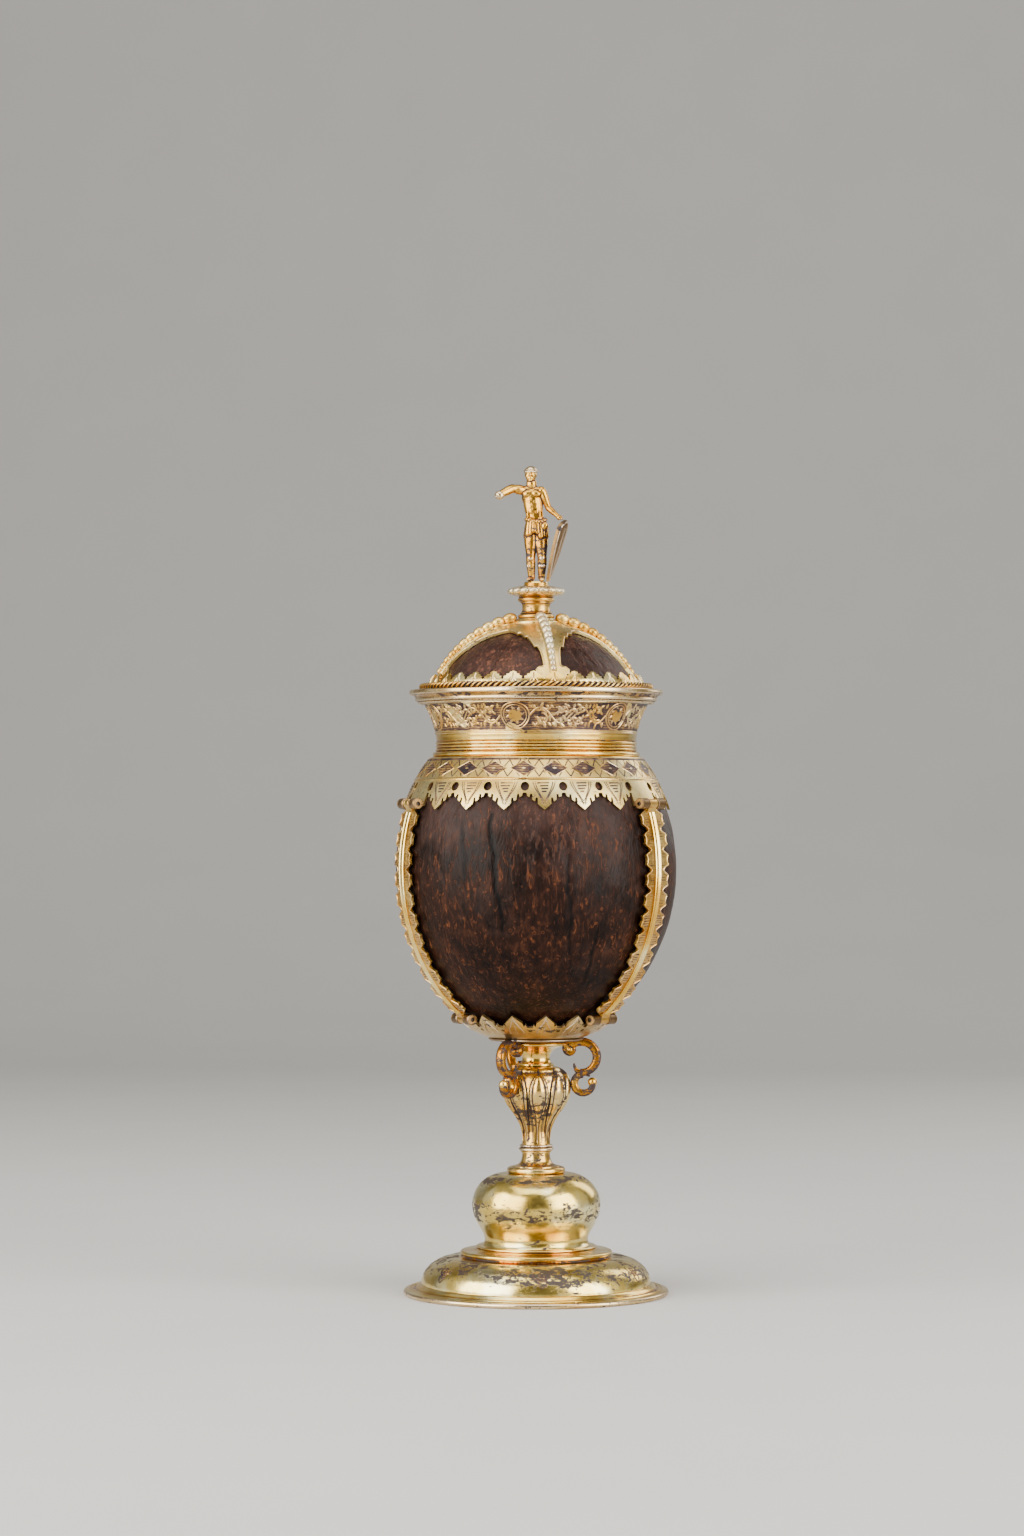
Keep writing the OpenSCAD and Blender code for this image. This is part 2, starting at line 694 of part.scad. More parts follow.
module shoulder_band() {
    parts = SIDES * (shoulder_leaves + 1);
    pitch = 360 / parts;
    half = nut_radius(z_leaf_tip, band_gap + sheet) * tan(pitch / 2);
    tab_r = nut_radius(z_hinge, band_gap + sheet);
    knuckle_l = (barrel_l - middle_l) / 2 - knuckle_gap;
    color(pale_gold)
    difference() {
        union() {
            difference() {
                shoulder_shell();
                for (i = [0:parts - 1])
                    at(STRAP_TURN + (i + 0.5) * pitch) {
                        from_tab = i % (shoulder_leaves + 1);
                        if (from_tab == 0)
                            tab_cutter(nut_r, half, leaf_h, z_leaf_cut, -1, 1);
                        else if (from_tab == shoulder_leaves)
                            tab_cutter(nut_r, half, leaf_h, z_leaf_cut, -1, -1);
                        else
                            leaf_cutter(nut_r, half, leaf_h, z_leaf_cut, -1);
                        translate([nut_r, 0, z_leaf_cut + pierced_up])
                            rotate([0, 90, 0]) cylinder(h = 2 * CUT, r = pierced_r, center = true);
                    }
                at_straps()
                    translate([nut_r - CUT, -half, z_hinge - tab_low - CUT]) cube([2 * CUT, 2 * half, CUT]);
            }
            at_straps() {
                outer_knuckles(hinge_r, z_hinge);
                for (y = [-barrel_l / 2, barrel_l / 2 - knuckle_l])
                    translate([tab_r - sheet / 2, y, z_hinge - pin_r])
                        cube([hinge_out, knuckle_l, 2 * pin_r]);
            }
        }
        at_straps() hinge_bores(hinge_r, z_hinge);
    }
}

module neck_moulding() {
    reed = reed_h / reeds;
    color(gold)
    lathe(concat(
        [[reed_in, z_reeds]],
        [for (i = [0:reeds - 1])
            each arc([reed_r - reed_d, z_reeds + (i + 0.5) * reed], reed_d, reed / 2, -85, 85, 8)],
        [[lip_foot_r, z_lip], [reed_in, z_lip]]));
}

module lip_band() {
    color(pale_gold) lathe(sheet_of(lip_line(), sheet));
}

// Straps and pins

// Edge of a strap, as half widths and heights, from its foot up
function strap_edge() =
    let (off = strap_gap, a0 = nut_angle(z_strap_low, off), a1 = nut_angle(z_strap_top, off),
        lobe = (a1 - a0) / strap_scallops)
    [for (i = [0:strap_scallops - 1])
        each [for (p = [[0, strap_notch_w], [0.28, strap_w], [0.5, strap_w - 0.5], [0.72, strap_w]])
            let (a = a0 + (i + p.x) * lobe) [p.y, z_nut + nut_reach(a, off) * sin(a)]]];

// A slice along a strap, between two offsets from the nut
module along_strap(off0, off1) {
    outer = nut_line(off1, z_strap_low, z_strap_top, 24);
    inner = nut_line(off0, z_strap_low, z_strap_top, 24);
    lathe_slice(concat(outer, reversed(inner)), STRAP_SLICE);
}

// The lower knuckle is open towards the nut, so that the strap swings off its pin
module strap(i) {
    off = strap_gap + sheet;
    edge = concat(strap_edge(), [[strap_notch_w, z_strap_top]]);
    mouth_turn = atan2(hinge_r - low_hinge_r, z_hinge - z_low_hinge);
    slack = pin_r + open_clear;
    color(pale_gold)
    at(STRAP_TURN + (i - 1) * 360 / SIDES)
        difference() {
            union() {
                intersection() {
                    along_strap(strap_gap, off);
                    outward(0, 1.2 * nut_r)
                        polygon(concat(edge, [for (p = reversed(edge)) [-p.x, p.y]]));
                }
                sideways(middle_l)
                    polygon([[nut_radius(z_strap_top - 1, strap_gap), z_strap_top - 1],
                        [nut_radius(z_strap_top - 1, off), z_strap_top - 1],
                        [hinge_r + barrel_r - 0.4, z_hinge],
                        [hinge_r - barrel_r + 0.4, z_hinge]]);
                cross_cylinder(hinge_r, z_hinge, barrel_r, middle_l);
                sideways(middle_l)
                    polygon([[nut_radius(z_strap_low + 0.6, strap_gap), z_strap_low + 0.6],
                        [nut_radius(z_strap_low + 0.6, off), z_strap_low + 0.6],
                        [low_hinge_r + barrel_r - 0.1, z_low_hinge],
                        [low_hinge_r, z_low_hinge + barrel_r - 0.1]]);
                cross_cylinder(low_hinge_r, z_low_hinge, barrel_r, middle_l);
            }
            cross_cylinder(hinge_r, z_hinge, bore_r, middle_l + 2);
            cross_cylinder(low_hinge_r, z_low_hinge, slack, middle_l + 2);
            translate([low_hinge_r, 0, z_low_hinge])
                rotate([0, mouth_turn, 0])
                    translate([-2 * barrel_r, -middle_l, -slack])
                        cube([2 * barrel_r, 2 * middle_l, 2 * slack]);
        }
}

module strap_rib(i) {
    base = strap_gap + sheet;
    z0 = z_strap_low + 0.6;
    z1 = z_strap_top - 1.2;
    color(gold)
    at(STRAP_TURN + (i - 1) * 360 / SIDES) {
        intersection() {
            along_strap(base, base + 0.55 * rib_h);
            translate([0, -rib_w / 2, z0]) cube([1.2 * nut_r, rib_w, z1 - z0]);
        }
        intersection() {
            along_strap(base + 0.5 * rib_h, base + rib_h);
            translate([0, -0.3 * rib_w, z0]) cube([1.2 * nut_r, 0.6 * rib_w, z1 - z0]);
        }
    }
}

module upper_pin(i) {
    color(iron)
    at(STRAP_TURN + (i - 1) * 360 / SIDES) cross_cylinder(hinge_r, z_hinge, pin_r, pin_l);
}

module lower_pin(i) {
    color(iron)
    at(STRAP_TURN + (i - 1) * 360 / SIDES) cross_cylinder(low_hinge_r, z_low_hinge, pin_r, pin_l);
}

// Lid

module lid_rim() {
    z_edge = z_lip_top - rim_drop;
    edge_in = lip_r + rim_clear;
    ridge = (rim_r - edge_in - 1.4) / 3;
    climb = (z_plate - z_edge - 1.2) / 2.6;
    color(silver)
    lathe(concat(
        [[plate_in, z_plate], [plate_in, z_plate - plate_t], [bezel_r + EPS, z_plate - plate_t],
            [bezel_r + EPS, z_lid], [edge_in, z_lid], [edge_in, z_edge]],
        [for (i = [0:2])
            each arc([edge_in + 0.7 + i * ridge, z_edge + 0.7 + i * climb], ridge, 0.7, -80, 60, 6)],
        [[rim_r, z_plate - 0.9], [rim_r, z_plate - 0.3], [rim_r - 0.4, z_plate]]));
}

module lid_bezel() {
    z_foot = z_lip_top - bezel_h;
    color(silver)
    lathe([[bezel_r - sheet, z_foot], [bezel_r, z_foot], [bezel_r, z_plate - plate_t],
        [bezel_r - sheet, z_plate - plate_t]]);
}

module lid_rope() {
    color(gold)
    rotate_extrude() translate([rope_r, z_plate + rope_d / 2 + 0.05]) circle(d = rope_d);
}

module lid_fringe() {
    pitch = 360 / fringe_parts;
    half = fringe_r * tan(pitch / 2);
    z_cut = z_plate + fringe_h - fringe_cut;
    line = curve([fringe_r, z_plate], [fringe_r + 0.1, z_plate + 0.3 * fringe_h],
        [fringe_r - 0.9, z_plate + 0.7 * fringe_h], [fringe_r - 2.3, z_plate + fringe_h], 6);
    color(pale_gold)
    difference() {
        lathe(sheet_of(line, sheet));
        for (i = [0:fringe_parts - 1])
            at(lid_turn + (i + 0.5) * pitch)
                leaf_cutter(fringe_r, half, fringe_cut, z_cut, 1);
    }
}

module lid_shell() {
    base = asin((z_plate - z_ball) / ball_r);
    inner_base = asin((z_plate - z_ball) / lid_in_r);
    color(lid_brown)
    difference() {
        lathe(concat(
            arc([0, z_ball], ball_r, ball_r, base, 90, 20),
            arc([0, z_ball], lid_in_r, lid_in_r, 90, inner_base, 20)));
        translate([0, 0, z_ball]) cylinder(h = 2 * ball_r, r = bolt_hole);
    }
}

// Outline of the crown seen from above: a middle and arms that narrow outward
module crown_outline() {
    reach = crown_out + 2;
    step = 1.1;
    circle(r = crown_hub_r);
    for (i = [0:LID_STRAPS - 1])
        rotate([0, 0, lid_turn - 90 + i * 360 / LID_STRAPS])
            polygon([for (s = [1, -1]) each
                let (side = [[0, crown_arm_w + 3 * step], [crown_hub_r + 2, crown_arm_w + 2 * step],
                    [crown_hub_r + 2, crown_arm_w + 1.4 * step], [crown_hub_r + 6, crown_arm_w + step],
                    [crown_hub_r + 6, crown_arm_w + 0.4 * step], [crown_hub_r + 11, crown_arm_w],
                    [reach, crown_arm_w]])
                [for (p = (s > 0 ? side : reversed(side))) [p.x, s * p.y]]]);
}

module lid_crown() {
    base = asin((z_plate - z_ball) / crown_out);
    inner_base = asin((z_plate - z_ball) / crown_in);
    z_boss_foot = z_ball + crown_out * cos(asin(boss_r / crown_out)) - 0.2;
    color(gold)
    difference() {
        union() {
            intersection() {
                lathe(concat(
                    arc([0, z_ball], crown_out, crown_out, base, 90, 20),
                    arc([0, z_ball], crown_in, crown_in, 90, inner_base, 20)));
                translate([0, 0, z_plate]) linear_extrude(2 * lid_dome_h) crown_outline();
            }
            translate([0, 0, z_boss_foot]) cylinder(h = z_boss - z_boss_foot, r = boss_r);
        }
        translate([0, 0, z_ball]) cylinder(h = 2 * ball_r, r = bolt_hole);
    }
}

// Radius of bead k, and the angle from the top at which it lies
function bead_size(k) = bead_r * pow(bead_step, k);
function bead_angle(k) = k == 0 ? bead_start
    : bead_angle(k - 1) + 0.96 * (bead_size(k - 1) + bead_size(k)) / (crown_out + bead_size(k)) * 180 / PI;
bead_start = asin((boss_r + bead_r + 0.3) / (crown_out + bead_r));

module lid_beads(i) {
    color(gold)
    difference() {
        at(lid_turn + (i - 1) * 360 / LID_STRAPS)
            for (k = [0:beads - 1])
                translate([0, 0, z_ball])
                    rotate([0, bead_angle(k), 0])
                        translate([0, 0, crown_out + bead_size(k) - 0.2]) sphere(r = bead_size(k));
        translate([0, 0, z_ball]) sphere(r = crown_out);
    }
}

// Finial

module finial_spool() {
    color(gold)
    lathe(concat(
        [[bolt_hole, z_boss]],
        [[finial_r, z_boss]],
        arc([finial_r - 0.7, z_boss + 0.9], 0.7, 0.7, -50, 80, 6),
        curve([finial_r - 1, z_boss + 1.8], [finial_r - 1.5, z_boss + 0.4 * finial_h],
            [finial_r - 1.5, z_boss + 0.6 * finial_h], [finial_r - 1, z_disc - 2], 8),
        arc([finial_r - 0.8, z_disc - 1], 0.8, 0.8, -80, 60, 6),
        [[finial_r, z_disc], [bolt_hole, z_disc]]));
}

module finial_disc() {
    lobe = gadroon_r;
    color(silver)
    difference() {
        union() {
            translate([0, 0, z_disc]) cylinder(h = disc_h, r = disc_r - 1.4 * lobe);
            for (i = [0:gadroons - 1])
                at(i * 360 / gadroons)
                    translate([disc_r - lobe, 0, z_disc + disc_h / 2]) sphere(r = lobe);
        }
        translate([0, 0, z_disc - 1]) cylinder(h = disc_h + 2, r = bolt_hole);
    }
}

module finial_plinth() {
    color(silver) translate([0, 0, z_plinth]) cylinder(h = plinth_h, r = plinth_r);
}

module finial_bolt() {
    foot = z_ball + lid_in_r - bolt_tail;
    color(iron) translate([0, 0, foot]) cylinder(h = z_plinth - foot, r = bolt_r);
}

// Height of the flat washer's top under the lid's hollow
z_lid_washer = z_ball + sqrt(lid_in_r * lid_in_r - lid_washer_r * lid_washer_r) - 0.05;

module finial_washer() {
    color(iron) washer(z_lid_washer, lid_washer_r, bolt_hole);
}

module finial_nut() {
    color(iron) square_nut(z_lid_washer - washer_t, bolt_r + EPS);
}

// A limb of the figure between two places, as shares of the figure's height
module limb(a, ra, b, rb) {
    hull() {
        translate(a * figure_h) sphere(r = ra * figure_h, $fn = HULL_FN);
        translate(b * figure_h) sphere(r = rb * figure_h, $fn = HULL_FN);
    }
}

module figure() {
    color(gold)
    translate([0, 0, z_figure])
        intersection() {
            union() {
                limb([-0.045, -0.005, 0.905], 0.056, [-0.045, 0, 0.945], 0.052);
                limb([-0.035, 0.005, 0.83], 0.034, [-0.043, 0, 0.88], 0.034);
                limb([-0.095, 0, 0.785], 0.045, [0.03, 0, 0.775], 0.045);
                limb([-0.035, -0.005, 0.74], 0.084, [-0.015, 0, 0.6], 0.068);
                limb([-0.015, 0, 0.6], 0.07, [0, 0, 0.5], 0.084);
                limb([0, 0, 0.5], 0.088, [0.005, 0, 0.37], 0.104);
                limb([-0.11, 0, 0.785], 0.04, [-0.2, -0.05, 0.8], 0.035);
                limb([-0.2, -0.05, 0.8], 0.033, [-0.3, -0.13, 0.735], 0.034);
                limb([0.055, 0, 0.77], 0.042, [0.105, 0.01, 0.63], 0.035);
                limb([0.105, 0.01, 0.63], 0.033, [0.203, -0.03, 0.545], 0.032);
                limb([-0.035, 0, 0.38], 0.065, [-0.045, -0.02, 0.2], 0.045);
                limb([-0.045, -0.02, 0.2], 0.045, [-0.04, 0.01, 0.03], 0.032);
                limb([-0.04, 0.01, 0.03], 0.032, [-0.05, -0.06, 0.018], 0.026);
                limb([0.045, 0, 0.38], 0.065, [0.055, -0.035, 0.2], 0.045);
                limb([0.055, -0.035, 0.2], 0.045, [0.045, 0.02, 0.03], 0.032);
                limb([0.045, 0.02, 0.03], 0.032, [0.06, -0.05, 0.018], 0.026);
            }
            translate([-figure_h, -figure_h, 0]) cube([2 * figure_h, 2 * figure_h, 2 * figure_h]);
        }
}

// Outline of the shield: a tall leaf, as half widths and heights from its point up
function shield_side() = concat(
    curve([0, 0], [0.06, 0.12] * figure_h, [0.1, 0.3] * figure_h, [0.1, 0.44] * figure_h, 8),
    curve([0.1, 0.44] * figure_h, [0.1, 0.5] * figure_h, [0.06, 0.53] * figure_h, [0, 0.55] * figure_h, 6));

module figure_shield() {
    side = shield_side();
    lean = 17;
    turn = 62;
    thick = 1;
    color(silver)
    translate([plinth_r - 0.7, -0.03 * figure_h, z_figure + thick * sin(lean) / 2])
        rotate([0, lean, 0])
            rotate([0, 0, turn])
                sideways(thick)
                    polygon(concat(side, [for (p = reversed(side)) if (p.x > 0) [-p.x, p.y]]));
}

foot_rim();
foot_dome();
foot_step();
foot_cushion();
stem_spool();
stem_ring();
stem_baluster();
stem_cap();
stem_rod();
stem_washer();
stem_nut();
for (i = [1:SIDES]) scroll_bracket(i);
calyx();
coconut_bowl();
shoulder_band();
neck_moulding();
lip_band();
for (i = [1:SIDES]) strap(i);
for (i = [1:SIDES]) strap_rib(i);
for (i = [1:SIDES]) upper_pin(i);
for (i = [1:SIDES]) lower_pin(i);
lid_rim();
lid_bezel();
lid_rope();
lid_fringe();
lid_shell();
lid_crown();
for (i = [1:LID_STRAPS]) lid_beads(i);
finial_spool();
finial_disc();
finial_plinth();
figure();
figure_shield();
finial_bolt();
finial_washer();
finial_nut();
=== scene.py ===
"""A standing cup made from a coconut in silver-gilt mounts, with a domed cover and a small figure on top."""
import math
import bmesh
import bpy
import numpy as np
from mathutils import Euler, Matrix, Vector, geometry


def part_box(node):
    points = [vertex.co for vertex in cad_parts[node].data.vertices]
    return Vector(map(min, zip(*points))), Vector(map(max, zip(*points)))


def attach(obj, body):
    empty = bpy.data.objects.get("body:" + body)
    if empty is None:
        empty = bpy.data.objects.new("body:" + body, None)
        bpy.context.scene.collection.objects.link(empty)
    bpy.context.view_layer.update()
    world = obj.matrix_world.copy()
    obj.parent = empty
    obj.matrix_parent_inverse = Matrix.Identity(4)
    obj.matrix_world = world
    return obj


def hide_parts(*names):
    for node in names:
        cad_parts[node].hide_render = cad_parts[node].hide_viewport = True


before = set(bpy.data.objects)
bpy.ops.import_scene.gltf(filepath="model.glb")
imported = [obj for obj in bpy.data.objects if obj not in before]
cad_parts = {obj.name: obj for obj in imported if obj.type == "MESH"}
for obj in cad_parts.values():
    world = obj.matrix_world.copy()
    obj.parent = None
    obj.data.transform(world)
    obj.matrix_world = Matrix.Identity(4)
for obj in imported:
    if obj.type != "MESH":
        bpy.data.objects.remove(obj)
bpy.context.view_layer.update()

# Sizes in millimetres and turns in degrees, in the same frame as the solids
MM = 0.001
SIDES, LID_ARMS = 3, 4
SIDE_TURN, ARM_TURN = 360 / SIDES, 360 / LID_ARMS
STRAP_TURN, BRACKET_TURN, LOBE_TURN, LID_TURN = 60, 90, 90, 15
FINE = 240
SHEET, FOOT_SHEET = 0.9, 1.2
FOOT_EDGE_R, FOOT_EDGE, FLANGE_IN, FLANGE_H, FOOT_MARKS = 44.1, 0.9, 36.4, 3.6, 6
DOME_MID_R, DOME_W, FOOT_HOLE = 27.6, 11.4, 15.6
CUSHION_LOW_R, CUSHION_MID_R, CUSHION_R = 18.3, 11.0, 21.8
NUT_R, NUT_LOW, NUT_UP, NUT_WALL = 47.6, 57.5, 55.0, 3.6
NUT_ROWS, NUT_IN_ROWS, NUT_TURNS = 130, 40, 480
STRAP_GAP, BAND_GAP = 1.0, 0.15
STRAP_W, STRAP_NOTCH_W, RIB_W, RIB_H, SCALLOPS, SUNK_SCALLOPS = 6.4, 3.6, 3.0, 1.0, 11, 6
BARREL_R, TUBE_R, BARREL_L, MIDDLE_L, KNUCKLE_GAP = 1.6, 1.85, 14.0, 4.4, 0.2
BORE_R, OPEN_R, HINGE_OUT, LOW_HINGE_R = 0.74, 0.85, 1.8, 26.8
NECK_R, BALUSTER_R, CAP_R, LOBES = 4.7, 11.9, 11.2, 9
BIG_R, SMALL_R, SCROLL_W, SCROLL_T = 5.2, 3.2, 1.9, 2.6
CALYX_R, CALYX_H, CALYX_FLOOR_R, CALYX_CUT, CALYX_LEAVES = 27.6, 9.4, 10.0, 4.1, 15
LEAF_H, PIERCED_R, PIERCED_UP, SHOULDER_LEAVES, LOZENGES = 4.8, 1.5, 2.9, 21, 24
REED_R, REED_IN, LIP_R, RIM_R, LIP_REPEATS = 34.2, 32.2, 38.6, 43.1, 6
ROPE_R, ROPE_D, ROPE_TURNS, ROPE_STEPS = 38.7, 2.2, 38, 12
FRINGE_R, FRINGE_H, FRINGE_CUT, FRINGE_PARTS = 36.9, 5.5, 3.0, 32
LID_DOME_R, LID_DOME_H, CROWN_GAP = 34.3, 22.2, 0.3
LID_NUT_ROWS, LID_NUT_IN_ROWS, LID_NUT_TURNS = 80, 24, 400
BEADS, BEAD_R, BEAD_STEP = 11, 2.25, 0.93
BOSS_R, FINIAL_R, DISC_R, GADROONS, PLINTH_R = 6.6, 6.2, 9.9, 16, 4.4
FIGURE_H, SKIN_GRAIN = 39.7, 0.16


def low(node):
    """Height of a solid's lowest point."""
    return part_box(node)[0].z / MM


def top(node):
    """Height of a solid's highest point."""
    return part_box(node)[1].z / MM


Z_DOME, Z_STEP, Z_CUSHION = low("foot_dome"), low("foot_step"), low("foot_cushion")
Z_SPOOL, Z_RING, Z_BALUSTER, Z_CAP = low("stem_spool"), low("stem_ring"), low("stem_baluster"), low("stem_cap")
CUSHION_H, BALUSTER_H = Z_SPOOL - Z_CUSHION, Z_CAP - Z_BALUSTER
Z_CALYX, Z_MOUTH = top("stem_cap"), top("coconut_bowl")
Z_NUT = low("coconut_bowl") + NUT_LOW
Z_REEDS, Z_LIP, Z_LIP_TOP = low("neck_moulding"), low("lip_band"), top("lip_band")
Z_LEAF_TIP = low("shoulder_band")
Z_LEAF_CUT = Z_LEAF_TIP + LEAF_H
Z_HINGE = (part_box("upper_pin_1")[0].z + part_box("upper_pin_1")[1].z) / 2 / MM
Z_LOW_HINGE = (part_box("lower_pin_1")[0].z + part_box("lower_pin_1")[1].z) / 2 / MM
Z_RIM, Z_PLATE = low("lid_rim"), top("lid_rim")
Z_ROPE = Z_PLATE + ROPE_D / 2 + 0.02
Z_BOSS, Z_DISC = low("finial_spool"), top("finial_spool")
Z_PLINTH, Z_FIGURE = low("finial_plinth"), top("finial_plinth")
BALL_R = (LID_DOME_R ** 2 + LID_DOME_H ** 2) / (2 * LID_DOME_H)
Z_BALL = Z_PLATE + LID_DOME_H - BALL_R
CROWN_IN = BALL_R + CROWN_GAP
Z_STRAP_TOP, Z_STRAP_LOW = Z_HINGE - BARREL_R - 0.6, Z_LOW_HINGE + BARREL_R + 1
ROD_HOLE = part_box("stem_rod")[1].x / MM + 0.05
BOLT_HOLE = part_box("finial_bolt")[1].x / MM + 0.05
BEZEL_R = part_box("lid_bezel")[1].x / MM


# Curves and surfaces

def even_turns(n):
    """n even turns of a circle, in radians."""
    return [math.tau * i / n for i in range(n)]


def circle(c, r, n=20):
    """Points round a circle about c."""
    return [(c[0] + r * math.cos(a), c[1] + r * math.sin(a)) for a in even_turns(n)]


def spiral(c, r0, r1, a0, a1, n=26):
    """Points along a spiral about c, from radius r0 and angle a0 in degrees to r1 and a1."""
    made = []
    for i in range(n + 1):
        a, r = math.radians(a0 + (a1 - a0) * i / n), r0 + (r1 - r0) * i / n
        made.append((c[0] + r * math.cos(a), c[1] + r * math.sin(a)))
    return made


def arc(c, rx, rz, a0, a1, n=14):
    """Points along an ellipse about c, from angle a0 to a1 in degrees."""
    turn = [math.radians(a0 + (a1 - a0) * i / n) for i in range(n + 1)]
    return [(c[0] + rx * math.cos(a), c[1] + rz * math.sin(a)) for a in turn]


def curve(p, q, r, s, n=14):
    """Points along a cubic curve with two control points."""
    made = []
    for i in range(n + 1):
        t = i / n
        u = 1 - t
        made.append(tuple(u * u * u * p[k] + 3 * u * u * t * q[k] + 3 * u * t * t * r[k] + t * t * t * s[k]
                          for k in (0, 1)))
    return made


def filled(line, step):
    """A line with points added so that none are further than step apart."""
    made = [line[0]]
    for p, q in zip(line, line[1:]):
        n = max(1, math.ceil(math.dist(p, q) / step))
        made += [tuple(p[k] + (q[k] - p[k]) * i / n for k in (0, 1)) for i in range(1, n + 1)]
    return made


def polar(r, azimuth, z):
    """The point at a radius, an azimuth in degrees from -Y towards +X, and a height."""
    a = math.radians(azimuth)
    return (r * math.sin(a), -r * math.cos(a), z)


def left_of(line, i, closed=False):
    """Direction to the left of a line at one of its points."""
    n = len(line)
    a = line[(i - 1) % n if closed else max(i - 1, 0)]
    b = line[(i + 1) % n if closed else min(i + 1, n - 1)]
    run = math.dist(a, b) or 1
    return -(b[1] - a[1]) / run, (b[0] - a[0]) / run


def shell(line, thick):
    """Outline of a sheet whose outside is a line of (radius, height)."""
    low_z, high_z = min(z for _, z in line), max(z for _, z in line)
    inner = []
    for i, (r, z) in enumerate(line):
        left = left_of(line, i)
        inner.append((r + thick * left[0], max(low_z, min(high_z, z + thick * left[1]))))
    return line + inner[::-1]


def nut_radius(z, off=0.0):
    """Radius of the nut's curve at a height, grown by off."""
    h = z - Z_NUT
    b = (NUT_LOW if h < 0 else NUT_UP) + off
    return (NUT_R + off) * math.sqrt(max(0, 1 - h * h / (b * b)))


HINGE_R = nut_radius(Z_HINGE, BAND_GAP + SHEET) + HINGE_OUT


def nut_angle(z, off):
    """Angle along the nut's curve at a height, in degrees."""
    h = z - Z_NUT
    return math.degrees(math.asin(max(-1, min(1, h / ((NUT_LOW if h < 0 else NUT_UP) + off)))))


def nut_line(a0, a1, off, n):
    """Points of (radius, height) along the nut's curve, from angle a0 to a1 in degrees."""
    made = []
    for i in range(n + 1):
        a = math.radians(a0 + (a1 - a0) * i / n)
        up = (NUT_LOW if a < 0 else NUT_UP) + off
        made.append(((NUT_R + off) * math.cos(a), Z_NUT + up * math.sin(a)))
    return made


def on_line(line):
    """A function that gives the point and outward direction at a length along a line of (radius, height)."""
    at = np.array(line, float)
    step = np.hypot(*np.diff(at, axis=0).T)
    run = np.concatenate([[0], np.cumsum(step)])

    def place(v):
        v = min(max(v, 0), run[-1])
        r, z = np.interp(v, run, at[:, 0]), np.interp(v, run, at[:, 1])
        a, b = max(v - 0.2, 0), min(v + 0.2, run[-1])
        dr = np.interp(b, run, at[:, 0]) - np.interp(a, run, at[:, 0])
        dz = np.interp(b, run, at[:, 1]) - np.interp(a, run, at[:, 1])
        n = math.hypot(dr, dz)
        return r, z, dz / n, -dr / n
    return place, run[-1]


def wrapped(line, ref_r):
    """A function that lays a flat place (along, up, height) on the surface a line turns round the axis.
    Lengths along it are true at radius ref_r."""
    place, length = on_line(line)

    def laid(u, v, h):
        r, z, nr, nz = place(v)
        return polar(r + h * nr, math.degrees(u / ref_r), z + h * nz)
    return laid, length


def hoop(ref_r, v):
    """A flat path that closes round the axis at one height."""
    return [(ref_r * a, v) for a in even_turns(FINE)]


# Meshes

class Shape:
    """Points and faces of a piece, in millimetres, added to part by part."""

    def __init__(self, points=(), faces=()):
        self.points, self.faces = [tuple(p) for p in points], [list(f) for f in faces]

    def join(self, other, matrix=None):
        base = len(self.points)
        self.points += other.points if matrix is None else [tuple(matrix @ Vector(p)) for p in other.points]
        self.faces += [[base + i for i in f] for f in other.faces]
        return self


def skin(rows, across, closed=False, first=0):
    """Faces between rows of points, each row closed on itself. closed joins the last row to the first."""
    j, k = np.meshgrid(np.arange(rows if closed else rows - 1), np.arange(across), indexing="ij")
    nj, nk = (j + 1) % rows, (k + 1) % across
    corners = np.stack([j * across + k, j * across + nk, nj * across + nk, nj * across + k], axis=-1)
    return (corners.reshape(-1, 4) + first).tolist()


def lathe(line, turns=FINE, shape=None):
    """A closed outline of (radius, height), which runs up its outside, turned round the axis.
    shape(azimuths, radii, heights) may change the radii and heights, as arrays of one row to a point of the line."""
    line = np.array(line, float)
    turn = np.arange(turns) * 360 / turns - 180
    phi, r = np.meshgrid(turn, line[:, 0])
    z = np.repeat(line[:, 1:], turns, axis=1)
    if shape:
        r, z = shape(phi, r, z)
    a = np.radians(phi)
    points = np.stack([r * np.sin(a), -r * np.cos(a), z], axis=-1).reshape(-1, 3)
    return Shape(points.tolist(), skin(len(line), turns, closed=True))


def uneven(phi, z, size):
    """Slow hand-worked unevenness over azimuths and heights."""
    a = np.radians(phi)
    return size * (0.5 * np.sin(3 * a + 0.11 * z + 0.4) + 0.3 * np.sin(7 * a - 0.23 * z + 1.7)
                   + 0.25 * np.sin(13 * a + 0.35 * z) + 0.15 * np.sin(23 * a + 0.6 * z + 2.2))


def by_hand(size):
    """Lets a lathe's radii wander as on a raised and turned piece of sheet."""
    return lambda phi, r, z: (r + uneven(phi, z, size) * np.minimum(1, r / 8), z)


def inside(points, loop):
    """Which points lie inside a closed loop."""
    points, loop = np.asarray(points, float), np.asarray(loop, float)
    hit = np.zeros(len(points), bool)
    for (x0, y0), (x1, y1) in zip(loop, np.roll(loop, -1, axis=0)):
        if y0 == y1:
            continue
        cross = (points[:, 1] >= min(y0, y1)) & (points[:, 1] < max(y0, y1))
        hit ^= cross & (points[:, 0] < x0 + (points[:, 1] - y0) * (x1 - x0) / (y1 - y0))
    return hit


def left_over(points, loops):
    """Which points lie inside the first loop and outside the others."""
    keep = inside(points, loops[0])
    for loop in loops[1:]:
        keep &= ~inside(points, loop)
    return keep


